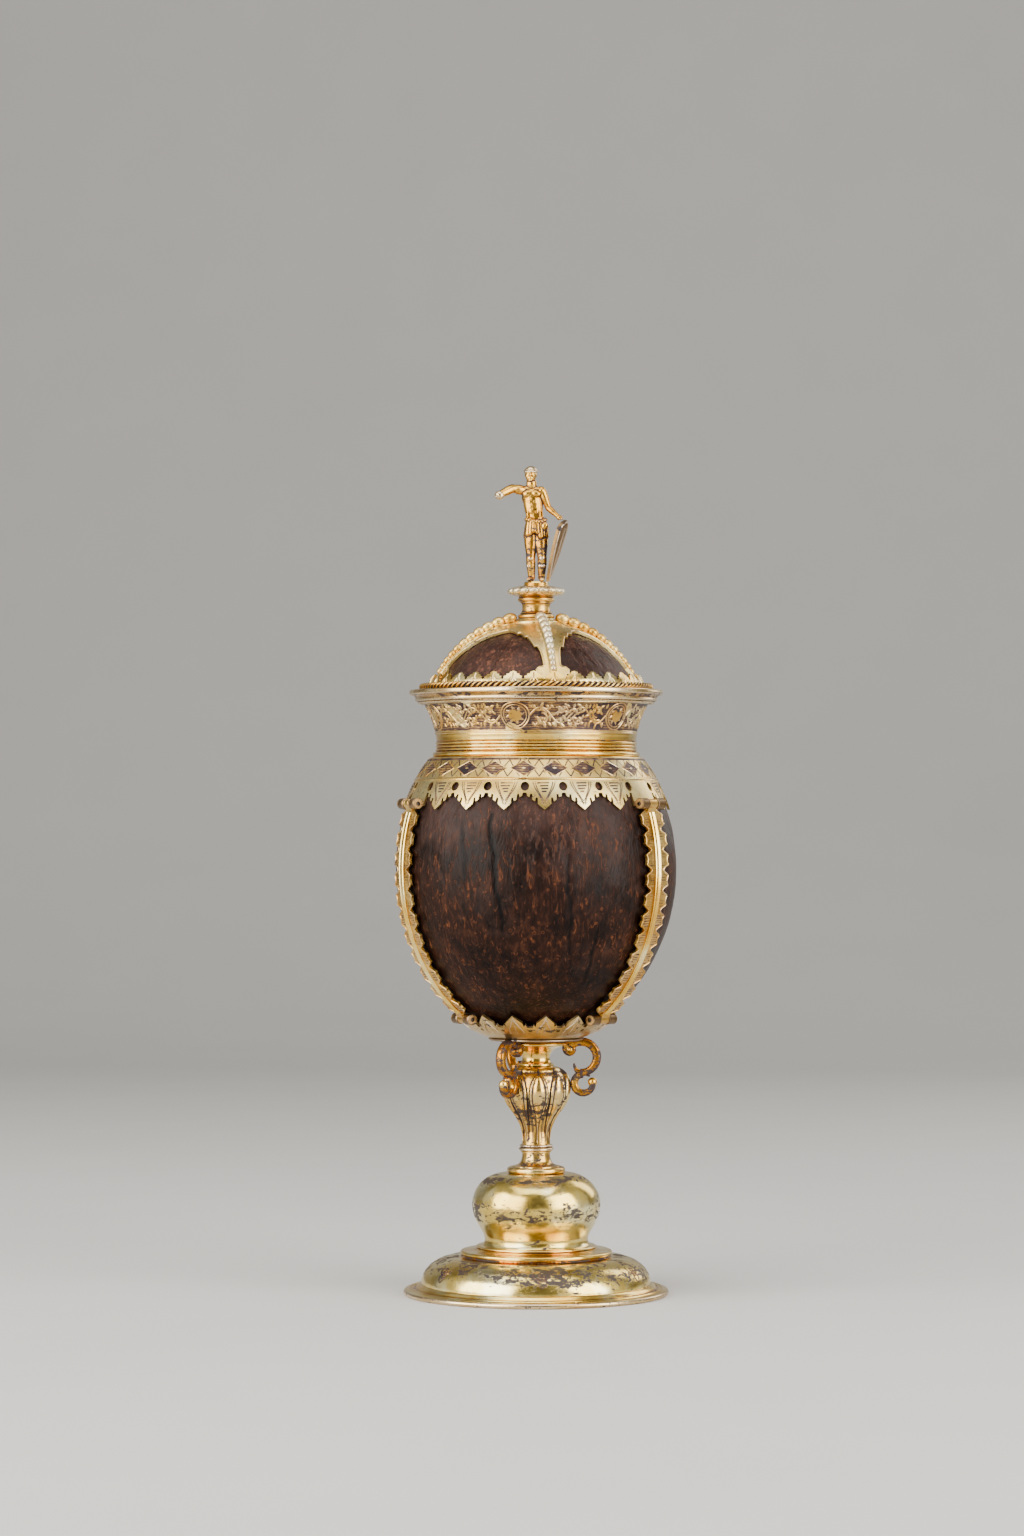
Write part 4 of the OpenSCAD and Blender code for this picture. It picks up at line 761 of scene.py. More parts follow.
def coconut_shell(name, dark, brown, light, fleck_tone, sheen_tone, flecks, sheen_share, fibre_mm, warm_at):
    """Coconut shell scraped smooth and finished with beeswax.
    The eye gets near-black brown with paler fibres that run from pole to pole, short orange strokes, dots and rings
    where fibres end, cracks painted near-black as the shade inside them, and a painted grey sheen on the shoulders,
    stronger higher up."""
    made, tree, where = new_material(name)
    crack = add(tree, "ShaderNodeAttribute", attribute_name="crack").outputs["Fac"]
    cloud = add(tree, "ShaderNodeTexNoise", {"Vector": where, "Scale": per_mm(14), "Detail": 5.0, "Roughness": 0.65})
    long = add(tree, "ShaderNodeMapping", {"Vector": where, "Scale": (1.0, 1.0, 0.3)})
    fibre = add(tree, "ShaderNodeTexNoise", {"Vector": long, "Scale": per_mm(fibre_mm), "Detail": 6.0,
                                             "Roughness": 0.62, "Distortion": 0.9})
    mixed = add(tree, "ShaderNodeMath", {0: fibre, 1: 0.5}, operation="MULTIPLY")
    mixed = add(tree, "ShaderNodeMath", {0: cloud, 1: 0.5, 2: mixed}, operation="MULTIPLY_ADD")
    body = add(tree, "ShaderNodeValToRGB", {"Fac": mixed},
               [(0.38, colour(dark)), (0.52, colour(brown)), (0.66, colour(light))])
    far = add(tree, "ShaderNodeVectorMath", {0: where, 1: warm_at}, operation="DISTANCE").outputs["Value"]
    warm = add(tree, "ShaderNodeMapRange", {"Value": far, "From Min": 17 * MM, "From Max": 4 * MM})
    slant = add(tree, "ShaderNodeMapping", {"Vector": where, "Rotation": (0.22, 0.28, 0.2), "Scale": (1.0, 1.0, 0.27)})
    thread = add(tree, "ShaderNodeTexNoise", {"Vector": slant, "Scale": per_mm(1.25), "Detail": 3.0,
                                              "Roughness": 0.5, "Distortion": 1.0})
    richer = add(tree, "ShaderNodeMath", {0: warm, 1: 0.055, 2: thread}, operation="MULTIPLY_ADD")
    strokes = add(tree, "ShaderNodeMapRange", {"Value": richer, "From Min": 0.59 - flecks, "From Max": 0.74 - flecks,
                                               "To Max": 0.8})
    cell = add(tree, "ShaderNodeTexVoronoi", {"Vector": where, "Scale": per_mm(2.6), "Randomness": 1.0})
    chance = add(tree, "ShaderNodeSeparateColor", {"Color": cell.outputs["Color"]})
    some = add(tree, "ShaderNodeMath", {0: chance, 1: 0.62}, operation="GREATER_THAN")
    few = add(tree, "ShaderNodeMath", {0: chance.outputs[1], 1: 0.86}, operation="GREATER_THAN")
    dot = add(tree, "ShaderNodeMapRange", {"Value": cell.outputs["Distance"], "From Min": 0.2, "From Max": 0.08})
    dots = add(tree, "ShaderNodeMath", {0: dot, 1: some}, operation="MULTIPLY")
    ring = add(tree, "ShaderNodeMath", {0: cell.outputs["Distance"], 1: 0.2, 2: 0.05}, operation="COMPARE")
    rings = add(tree, "ShaderNodeMath", {0: ring, 1: few}, operation="MULTIPLY")
    marks = add(tree, "ShaderNodeMath", {0: dots, 1: 0.5, 2: strokes}, operation="MULTIPLY_ADD")
    marks = add(tree, "ShaderNodeMath", {0: rings, 1: 0.4, 2: marks}, operation="MULTIPLY_ADD", use_clamp=True)
    fading = add(tree, "ShaderNodeMapRange", {"Value": cloud, "From Min": 0.35, "From Max": 0.6,
                                              "To Min": 0.25, "To Max": 1.0})
    seen = add(tree, "ShaderNodeMath", {0: marks, 1: fading}, operation="MULTIPLY")
    flecked = add(tree, "ShaderNodeMix", {0: seen, 6: body, 7: colour(fleck_tone)}, data_type="RGBA").outputs[2]
    height = add(tree, "ShaderNodeSeparateXYZ", {"Vector": where}).outputs["Z"]
    # Painted sheen: grey laid over the upper shell, from a height ramp plus a slow cloud; thick holds its level.
    high = add(tree, "ShaderNodeMapRange", {"Value": height, "From Min": SHEEN_LOW * MM, "From Max": SHEEN_HIGH * MM,
                                            "To Max": 0.22})
    sheen_cloud = add(tree, "ShaderNodeTexNoise", {"Vector": where, "Scale": per_mm(22), "Detail": 4.0, "Roughness": 0.7})
    thick = add(tree, "ShaderNodeMath", {0: sheen_cloud, 1: high}, operation="ADD")
    painted_sheen = add(tree, "ShaderNodeMapRange", {"Value": thick, "From Min": 0.55, "From Max": 0.85,
                                             "To Max": sheen_share})
    with_painted_sheen = add(tree, "ShaderNodeMix", {0: painted_sheen, 6: flecked, 7: colour(sheen_tone)}, data_type="RGBA").outputs[2]
    # Painted shade: cracks turn near-black, standing in for the shade inside splits finer than the mesh.
    split = add(tree, "ShaderNodeMix", {0: crack, 6: with_painted_sheen, 7: colour("#040202")}, data_type="RGBA").outputs[2]
    gloss = add(tree, "ShaderNodeMapRange", {"Value": mixed, "From Min": 0.35, "From Max": 0.65,
                                             "To Min": 0.3, "To Max": 0.5})
    wrinkle = add(tree, "ShaderNodeTexNoise", {"Vector": long, "Scale": per_mm(3.2), "Detail": 5.0,
                                               "Roughness": 0.6, "Distortion": 0.6})
    relief = add(tree, "ShaderNodeMath", {0: marks, 1: 0.25, 2: wrinkle}, operation="MULTIPLY_ADD")
    bump = add(tree, "ShaderNodeBump", {"Height": relief, "Strength": 0.85, "Distance": 0.6 * MM})
    return surfaced(made, {"Base Color": split, "Roughness": gloss, "Normal": bump, "IOR": 1.45,
                           "Specular IOR Level": 0.12})


def dark_iron(name, base, light, rough, grain_mm):
    """Iron or wire that is drawn or filed and then left.
    The eye gets grey-brown metal with soft mottling and fine marks."""
    made, tree, where = new_material(name)
    grain = add(tree, "ShaderNodeTexNoise", {"Vector": where, "Scale": per_mm(grain_mm), "Detail": 6.0,
                                             "Roughness": 0.7})
    tone = add(tree, "ShaderNodeValToRGB", {"Fac": grain}, [(0.32, colour(base)), (0.7, colour(light))])
    gloss = add(tree, "ShaderNodeMapRange", {"Value": grain, "To Min": rough - 0.12, "To Max": rough + 0.15})
    bump = add(tree, "ShaderNodeBump", {"Height": grain, "Strength": 0.4, "Distance": 0.1 * MM})
    return surfaced(made, {"Base Color": tone, "Metallic": 0.9, "Roughness": gloss, "Normal": bump})


# Heights where tarnish gathers on foot and stem, and how much of it
TARNISHED = ([(0, 0.1), (Z_DOME + 2.2, 0.0), (Z_DOME + 4.4, 0.85), (Z_STEP, 0.7), (Z_STEP + 2, 0.3),
              (Z_CUSHION + 1, 0.0)]
             + [(Z_CUSHION + up * CUSHION_H, share) for up, share in
                ((0.3, 0.1), (0.42, 0.95), (0.58, 0.8), (0.66, 0.15), (0.82, 0.1))]
             + [(Z_SPOOL - 1.6, 0.95), (Z_SPOOL, 0.2), (Z_RING, 0.3), (Z_BALUSTER + 2, 0.3),
                (Z_BALUSTER + 0.45 * BALUSTER_H, 0.45), (Z_BALUSTER + 0.85 * BALUSTER_H, 0.25), (Z_CAP, 0.3)])
# The same on the figure: its legs are browner than the rest
BROWN_LEGS = [(Z_FIGURE + up * FIGURE_H, share) for up, share in
              ((0, 1.0), (0.22, 0.9), (0.42, 0.5), (0.55, 0.0), (1, 0.1))]
# Heights between which the painted grey sheen on the nut's upper part sets in, and the middles of the nut's and the
# lid's warm patches
SHEEN_LOW, SHEEN_HIGH = 138, 166
WARM_PATCH = (10.5 * MM, -44 * MM, (Z_NUT + 9) * MM)
LID_WARM_PATCH = (-12 * MM, -30 * MM, (Z_PLATE + 7) * MM)

GILT = gilt_silver("Fire-gilt silver", "#f5e3a4", "#e6bd58", "#b9822a", 0.0, -0.12, 0.19)
GILT_STAINED = gilt_silver("Fire-gilt silver, tarnished", "#f5ebb6", "#e4c768", "#ae8428", 0.06, -0.06, 0.19,
                           TARNISHED)
GILT_STEM = gilt_silver("Fire-gilt silver, stem", "#ead08c", "#d0a44c", "#8f6220", 0.06, -0.06, 0.22, TARNISHED)
GILT_PALE = gilt_silver("Fire-gilt silver, pale", "#efdc9e", "#dfbe6c", "#b3873a", 0.045, -0.08, 0.29)
GILT_DEEP = gilt_silver("Fire-gilt silver, deep", "#f0cd70", "#dba63c", "#a06818", 0.02, -0.15, 0.26)
GILT_CUT = gilt_silver("Fire-gilt silver, engraved", "#dfbd6e", "#c6963f", "#8a5c1c", 0.05, -0.15, 0.3)
GILT_CAST = gilt_silver("Fire-gilt silver, cast", "#dfb04e", "#c28a2d", "#7a4a12", 0.02, -0.15, 0.27, BROWN_LEGS)
GILT_BEADS = gilt_silver("Fire-gilt silver, soft", "#ebcc7e", "#d3a444", "#8e5e1b", 0.0, -0.06, 0.36)
SILVER = gilt_silver("Parcel-gilt silver, worn", "#e0caa4", "#d2b580", "#a87c3c", 0.05, 0.16, 0.24)
SILVER_BEADS = gilt_silver("Parcel-gilt silver, soft", "#e6dcc4", "#d8c79e", "#a07c40", 0.0, 0.1, 0.38)
DULL_SILVER = gilt_silver("Parcel-gilt silver, dull", "#d6bd88", "#bd9e62", "#8a6c3c", 0.07, 0.08, 0.32)
AGED_GILT = gilt_silver("Silver-gilt, aged brown", "#8f7148", "#6d5433", "#46331d", 0.08, 0.0, 0.36)
GROUND = engraved_ground("Engraved silver-gilt, hatched ground", 0.5)
DARK_GROUND = engraved_ground("Engraved silver-gilt, tarnished ground", -0.1)
# The sixth value of each shell is the grey of its painted sheen, and the eighth is that sheen's largest share.
NUT = coconut_shell("Waxed coconut shell", "#0a0504", "#1f0f09", "#3b2114", "#693b20", "#4a3935", 0.004, 0.42, 1.6,
                    WARM_PATCH)
LID_NUT = coconut_shell("Scraped coconut shell, reddish", "#120805", "#29150d", "#462c1d", "#704430", "#503e3a", 0.03,
                        0.28, 1.5, LID_WARM_PATCH)
IRON = dark_iron("Filed iron", "#3d3833", "#7d766c", 0.45, 2.0)
WIRE = dark_iron("Drawn wire, blackened", "#241d19", "#5b4f46", 0.45, 1.2)


# Foot

def build_foot():
    """Flange with a rubbed edge, domed ring, step, cushion, and the marks engraved on the dome."""
    wander = by_hand(0.12)
    rim = ([(FLANGE_IN, 0)] + arc((FOOT_EDGE_R, FOOT_EDGE), FOOT_EDGE, FOOT_EDGE, -90, 85, 10)
           + [(43.4, 1.9), (43.1, 2.2), (42.8, 1.95), (42.4, 1.95), (42.1, 2.25), (41.8, 2.0)]
           + curve((41.4, 2.05), (40.6, 2.1), (40.4, 3.2), (39.5, FLANGE_H), 8) + [(FLANGE_IN, FLANGE_H)])
    piece(lathe(rim, shape=wander), "foot_flange", GILT, "cup", ["foot_rim"])
    edge = shell(arc((FOOT_EDGE_R, FOOT_EDGE), FOOT_EDGE + 0.04, FOOT_EDGE + 0.04, -75, 50, 12), 0.3)
    piece(lathe(edge, shape=wander), "foot_rubbed_edge", SILVER, "cup")
    dome = arc((DOME_MID_R, Z_DOME), DOME_W, Z_STEP - Z_DOME, 0, 90, 26) + [(FOOT_HOLE, Z_STEP)]
    piece(lathe(shell(filled(dome, 1.0), FOOT_SHEET), shape=wander), "foot_domed_ring", GILT_STAINED, "cup",
          ["foot_dome"])
    z = Z_STEP
    step = ([(FOOT_HOLE, z)] + curve((26.3, z), (25.6, z + 0.1), (25.1, z + 0.2), (25.05, z + 0.7), 6)
            + arc((25.0, z + 1.5), 0.8, 0.75, -80, 85, 10)
            + curve((24.6, z + 2.3), (22.6, z + 2.3), (20.8, z + 2.5), (20.4, z + 3.0), 8)
            + arc((19.6, z + 3.5), 0.75, 0.5, -70, 80, 8) + [(18.6, Z_CUSHION), (FOOT_HOLE, Z_CUSHION)])
    piece(lathe(step, shape=by_hand(0.06)), "foot_step_ring", GILT, "cup", ["foot_step"])
    wide = Z_CUSHION + 0.555 * CUSHION_H
    cushion = (curve((CUSHION_LOW_R, Z_CUSHION), (15.4, Z_CUSHION + 0.15 * CUSHION_H),
                     (CUSHION_R, Z_CUSHION + 0.27 * CUSHION_H), (CUSHION_R, wide), 22)
               + arc((CUSHION_MID_R, wide), CUSHION_R - CUSHION_MID_R, Z_SPOOL - wide, 4, 90, 26)
               + [(ROD_HOLE, Z_SPOOL)])
    piece(lathe(shell(filled(cushion, 1.0), FOOT_SHEET), shape=wander), "foot_cushion_knop", GILT_STAINED, "cup",
          ["foot_cushion"])
    laid, length = wrapped(dome[:20], 33.0)
    motif = Shape()
    mid = 0.5 * length
    for side in (-1, 1):
        horn = curve((0, mid - 0.6), (side * 2.2, mid + 0.4), (side * 3.0, mid + 1.4), (side * 2.4, mid + 3.2), 10)
        motif.join(raised(horn, laid, 0.7, 0.22, 0, taper=lambda t: 1 - 0.6 * t))
        drop = curve((side * 0.5, mid + 0.6), (side * 1.6, mid - 0.8), (side * 1.4, mid - 2.2), (0, mid - 3.2), 10)
        motif.join(raised(drop, laid, 0.6, 0.2, 0, taper=lambda t: 1 - 0.5 * t))
    motif.join(raised(arc((0, mid + 1.6), 0.8, 0.9, 0, 350, 14), laid, 0.5, 0.2, 0))
    ringed(motif, FOOT_MARKS, "foot_engraved_marks", DARK_GROUND, "cup", first=8)


# Stem

def lobed(phi, r, z):
    """Arched lobes with a raised border and a sunk tongue, and narrow ribs between them."""
    arch, tongue_w = 0.62, 0.72
    t = (z - Z_BALUSTER) / BALUSTER_H
    s = np.abs((phi - LOBE_TURN + 180 / LOBES) % (360 / LOBES) - 180 / LOBES) / (180 / LOBES)
    rise = np.clip((t - 0.06) / 0.56, 0, 1)
    half = np.where(t < arch, 0.1 + 0.8 * rise * rise * (3 - 2 * rise),
                    0.9 * np.sqrt(np.clip(1 - ((t - arch) / 0.27) ** 2, 0, 1)))
    d = s / np.maximum(half, 1e-3)
    lobe = np.clip(1 - d ** 2, 0, 1) ** 0.3
    tongue = 1 / (1 + np.exp(np.clip((d - tongue_w) / 0.03, -30, 30)))
    swell = np.sqrt(np.clip(1 - (d / tongue_w) ** 2, 0, 1))
    rib = np.exp(-((s - 1) / 0.06) ** 2) * np.clip((0.7 - t) / 0.1, 0, 1)
    fade = np.clip((t - 0.02) / 0.15, 0, 1) * np.clip((0.98 - t) / 0.06, 0, 1)
    depth = fade * (-1.5 + 1.55 * lobe - 0.95 * tongue + 0.85 * swell + 0.3 * rib)
    return np.where(r > ROD_HOLE + 0.5, r + depth * np.minimum(1, r / 9), r), z


def build_stem():
    """Spool, double ring, lobed baluster and the dish under the bowl."""
    z = Z_SPOOL
    spool = ([(ROD_HOLE, z)] + arc((8.8, z + 1.1), 1.1, 1.1, -90, 90, 12) + [(8.3, z + 2.1), (8.2, z + 2.4)]
             + curve((7.9, z + 2.5), (5.6, z + 2.7), (NECK_R, z + 4.0), (NECK_R, Z_RING - 0.5), 12)
             + [(NECK_R + 0.5, Z_RING - 0.3), (NECK_R + 0.5, Z_RING), (ROD_HOLE, Z_RING)])
    piece(lathe(spool, 160, by_hand(0.04)), "stem_flared_spool", GILT_STEM, "cup", ["stem_spool"])
    h = Z_BALUSTER - Z_RING
    ring = ([(ROD_HOLE, Z_RING)] + arc((NECK_R + 0.2, Z_RING + 0.3 * h), 1.05, 0.3 * h, -90, 80, 8)
            + arc((NECK_R + 0.1, Z_RING + 0.8 * h), 0.8, 0.2 * h, -60, 90, 8) + [(ROD_HOLE, Z_BALUSTER)])
    piece(lathe(ring, 160, by_hand(0.03)), "stem_double_ring", SILVER, "cup", ["stem_ring"])
    z, h = Z_BALUSTER, BALUSTER_H
    wide = z + 0.7 * h
    baluster = ([(ROD_HOLE, z)]
                + curve((NECK_R + 0.1, z), (NECK_R - 0.2, z + 0.4 * h), (BALUSTER_R, z + 0.42 * h), (BALUSTER_R, wide),
                        60)
                + curve((BALUSTER_R - 0.05, wide + 0.4), (BALUSTER_R - 0.1, Z_CAP - 2), (NECK_R + 4, Z_CAP - 0.8),
                        (NECK_R + 0.6, Z_CAP), 40) + [(ROD_HOLE, Z_CAP)])
    piece(lathe(baluster, 540, lobed), "stem_lobed_baluster", GILT_STEM, "cup", ["stem_baluster"], 60)
    z, h = Z_CAP, Z_CALYX - Z_CAP
    cap = ([(ROD_HOLE, z), (NECK_R + 1.3, z), (NECK_R + 1.3, z + 0.5)]
           + curve((NECK_R + 0.7, z + 0.7), (NECK_R, z + 1.2), (NECK_R - 0.2, z + 2.2),
                   (NECK_R + 0.2, z + 0.45 * h), 10)
           + curve((NECK_R + 0.5, z + 0.5 * h), (NECK_R + 1, z + 0.65 * h), (CAP_R - 4, z + 0.7 * h),
                   (CAP_R - 2, z + 0.78 * h), 10)
           + arc((CAP_R - 0.9, z + 0.87 * h), 0.9, 0.07 * h, -80, 80, 8)
           + [(CAP_R - 0.3, Z_CALYX), (ROD_HOLE, Z_CALYX)])
    piece(lathe(cap, 200, by_hand(0.04)), "stem_dish", GILT, "cup", ["stem_cap"])


def build_brackets():
    """Three cast scrolls, each a large curl over a small one."""
    big = (BALUSTER_R + 3.6, Z_CALYX - BIG_R - SCROLL_W / 2 + 0.5)
    small = (BALUSTER_R + SMALL_R + SCROLL_W / 2 + 0.1, Z_CAP - 6.2)
    curl = (big[0] - 0.72 * BIG_R, big[1] + 0.52 * BIG_R)
    x, z = big[0] + 0.3, big[1] - BIG_R
    crook = spiral(curl, 0.5, 2.0, 470, 75, 30)[:-2] + arc(big, BIG_R, BIG_R, 126, -95, 36)
    thorn = curve((x, z), (x - 1.4, z - 0.3), (x - 2.6, z + 0.8), (x - 2.9, z + 3.1), 12)
    spur = curve((x + 0.4, z + 0.3), (x + 1.4, z - 0.4), (x + 1.6, z - 1.2), (x + 2.6, z - 1.2), 8)
    link = [(x + 0.2, z + 0.5), (small[0] + 0.2, small[1] + SMALL_R - 0.5)]
    scroll = Shape()
    for part in (bar(crook, (1.5, 2.0, 2.7, 3.0, 2.9, 2.5), SCROLL_T + 0.4),
                 ball((curl[0], 0, curl[1]), (1.15, 1.65, 1.15)),
                 bar(thorn, (2.2, 1.7, 0.6), SCROLL_T * 0.8),
                 bar(arc(small, SMALL_R, SMALL_R, 96, 366, 30), (2.6, 2.6, 2.0), SCROLL_T + 0.2),
                 bar(spur, (1.4, 1.0, 0.5), SCROLL_T * 0.7),
                 bar(link, (1.9, 1.9), SCROLL_T),
                 ball((small[0] + SMALL_R - 0.2, 0, small[1] + 0.5), (1.6, 1.5, 1.6))):
        scroll.join(part)
    for i in range(SIDES):
        made = Shape().join(scroll, upright(BRACKET_TURN + i * SIDE_TURN))
        obj = piece(made, f"scroll_bracket_cast_{i + 1}", GILT_DEEP, "cup", [f"scroll_bracket_{i + 1}"], 55)
        mended(obj.data, turn=True)


# Calyx, nut and shoulder

# Half a leaf's edge, from the cut beside it to its tip, as shares of its half width and its height
NOTCHED = [(0, 0), (0.10, 0.02), (0.13, 0.20), (0.25, 0.27), (0.29, 0.07), (0.38, 0.10), (0.40, 0.42), (0.53, 0.52),
           (0.58, 0.28), (0.67, 0.32), (0.67, 0.66), (0.8, 0.8), (1, 1)]
POINTED = [(0, 0), (0.18, 0.02), (0.26, 0.28), (0.40, 0.10), (0.44, 0.42), (1, 1)]


def leaf_edge(count, pitch, side):
    """Edge of a row of leaves, as (place along, share of the leaf's height), from one cut to another."""
    made = []
    for i in range(count):
        cut = (i + 0.5) * pitch
        made += [(cut + 0.5 * pitch * a, b) for a, b in side]
        made += [(cut + pitch - 0.5 * pitch * a, b) for a, b in side[-2:0:-1]]
    return made + [((count + 0.5) * pitch, 0)]


def build_calyx():
    """Leaf-edged cup under the nut, with its floor and the lower hinge tubes."""
    line = curve((CALYX_FLOOR_R, Z_CALYX), (CALYX_FLOOR_R + 8, Z_CALYX + 0.6),
                 (CALYX_R - 3.1, Z_CALYX + 0.46 * CALYX_H), (CALYX_R, Z_CALYX + CALYX_H), 40)
    ref = 25.0
    laid, length = wrapped(line, ref)
    run = np.concatenate([[0], np.cumsum(np.hypot(*np.diff(np.array(line), axis=0).T))])
    at = lambda z: float(np.interp(z, [p[1] for p in line], run))
    count, unit = CALYX_LEAVES // SIDES, math.tau / CALYX_LEAVES * ref
    far = count * unit
    cut, tip = at(Z_CALYX + CALYX_H - CALYX_CUT), at(Z_CALYX + CALYX_H)
    tab, slot = at(Z_LOW_HINGE - 0.4), at(Z_LOW_HINGE - BARREL_R - 0.4)
    rise = [(u, cut + s * (tip - cut)) for u, s in leaf_edge(count - 1, unit, POINTED)]
    upper = [(0, slot), (2.3, slot), (2.3, tab), (rise[0][0] - 0.4, tab), (rise[0][0] - 0.4, cut)] + rise
    upper += [(far - u, v) for u, v in upper[4::-1]]
    holes = [circle(((i + 0.5) * unit, cut - 1.7), 0.75, 14) for i in range(count)]
    third = cut_sheet([(0, 0), (far, 0)] + upper[::-1], holes, laid, -SHEET, 0, 0.9)
    for mid in (i * unit for i in range(1, count)):
        for side in (-1, 1):
            vein = curve((mid + side * 2.6, cut - 3.4), (mid + side * 3.0, cut - 0.6), (mid + side * 0.9, cut + 0.6),
                         (mid, tip - 0.9), 10)
            third.join(raised(vein, laid, 0.4, 0.18, 0))
        third.join(raised([(mid, cut - 3.6 + 0.5 * k) for k in range(10)], laid, 0.35, 0.18, 0))
    ringed(third, SIDES, "calyx_leaf_cup", DULL_SILVER, "cup", ["calyx"], first=STRAP_TURN)
    floor_r, floor_z = CALYX_FLOOR_R + 0.2, Z_CALYX + SHEET
    hinges = lathe([(0, Z_CALYX), (floor_r, Z_CALYX), (floor_r, floor_z), (0, floor_z)], 96)
    band = arc((CALYX_FLOOR_R + 5.5, Z_CALYX + 0.55), 0.7, 0.5, 160, -160, 14)
    hinges.join(lathe(band[::-1], 160))
    for i in range(SIDES):
        hinges.join(outer_tubes(LOW_HINGE_R, Z_LOW_HINGE), upright(STRAP_TURN + i * SIDE_TURN))
    piece(hinges, "calyx_hinge_tubes", AGED_GILT, "cup")


# Azimuth and height of a crack's upper end, the same of its lower end, and its depth
CRACKS = [(-14.4, 163, -9.0, 124, 1.0), (-27, 160, -24, 138, 0.45), (17, 150, 21, 112, 0.4), (96, 158, 92, 118, 0.7),
          (142, 160, 150, 128, 0.6), (-96, 150, -104, 110, 0.7), (-140, 158, -136, 130, 0.5), (33, 128, 30, 106, 0.4)]
LID_CRACKS = [(-20, 222, -24, 208, 0.6), (40, 218, 52, 209, 0.5), (70, 224, 66, 212, 0.6), (150, 220, 156, 208, 0.6),
              (-110, 222, -100, 210, 0.6), (-62, 217, -58, 208, 0.4)]


def crack_depths(cracks, phi, r, z, wander, wide, fade):
    """Depths of a shell's cracks over azimuths, radii and heights. They fade out towards their ends."""
    depth = np.zeros_like(phi)
    for a0, z0, a1, z1, deep in cracks:
        t = np.clip((z0 - z) / (z0 - z1), 0, 1)
        off = np.radians((phi - a0 - (a1 - a0) * t - wander + 180) % 360 - 180) * r
        ends = ((z < z0) & (z > z1)) * np.sin(np.pi * np.clip(t, 0.03, 0.97)) ** fade
        depth = np.maximum(depth, deep * np.exp(-(off / wide) ** 2) * ends)
    return depth


def build_nut():
    """The nut, an open shell with dents, fibres and cracks in its outside."""
    outline = (nut_line(-90, nut_angle(Z_MOUTH, 0), 0, NUT_ROWS)
               + nut_line(-90, nut_angle(Z_MOUTH, -NUT_WALL), -NUT_WALL, NUT_IN_ROWS)[::-1])
    outline[0], outline[-1] = (0, outline[0][1]), (0, outline[-1][1])
    depth = np.zeros((len(outline), NUT_TURNS))

    def scraped(phi, r, z):
        a = np.radians(phi)
        wave = uneven(phi, z, 0.16) + 0.02 * np.sin(61 * a + 0.9 * np.sin(0.21 * z)) + 0.02 * np.sin(37 * a + 0.5 * z)
        wander = 0.5 * np.sin(0.35 * z) + 0.25 * np.sin(0.9 * z)
        depth[:] = crack_depths(CRACKS, phi, NUT_R, z, wander, 0.58, 0.4)
        depth[NUT_ROWS + 1:] = wave[NUT_ROWS + 1:] = 0
        return np.maximum(r + np.minimum(wave, 0.12) * np.minimum(1, r / 15) - 0.5 * depth, 0), z
    mesh = as_mesh(lathe(outline, NUT_TURNS, scraped), "bowl", weld=False)
    # The crack mark drives the near-black painted shade in the cracks.
    marked(mesh, "crack", np.clip(3.2 * depth, 0, 1))
    mended(mesh, merge=True)
    finished(mesh, "coconut_shell_bowl", NUT, "cup", ["coconut_bowl"], 60)


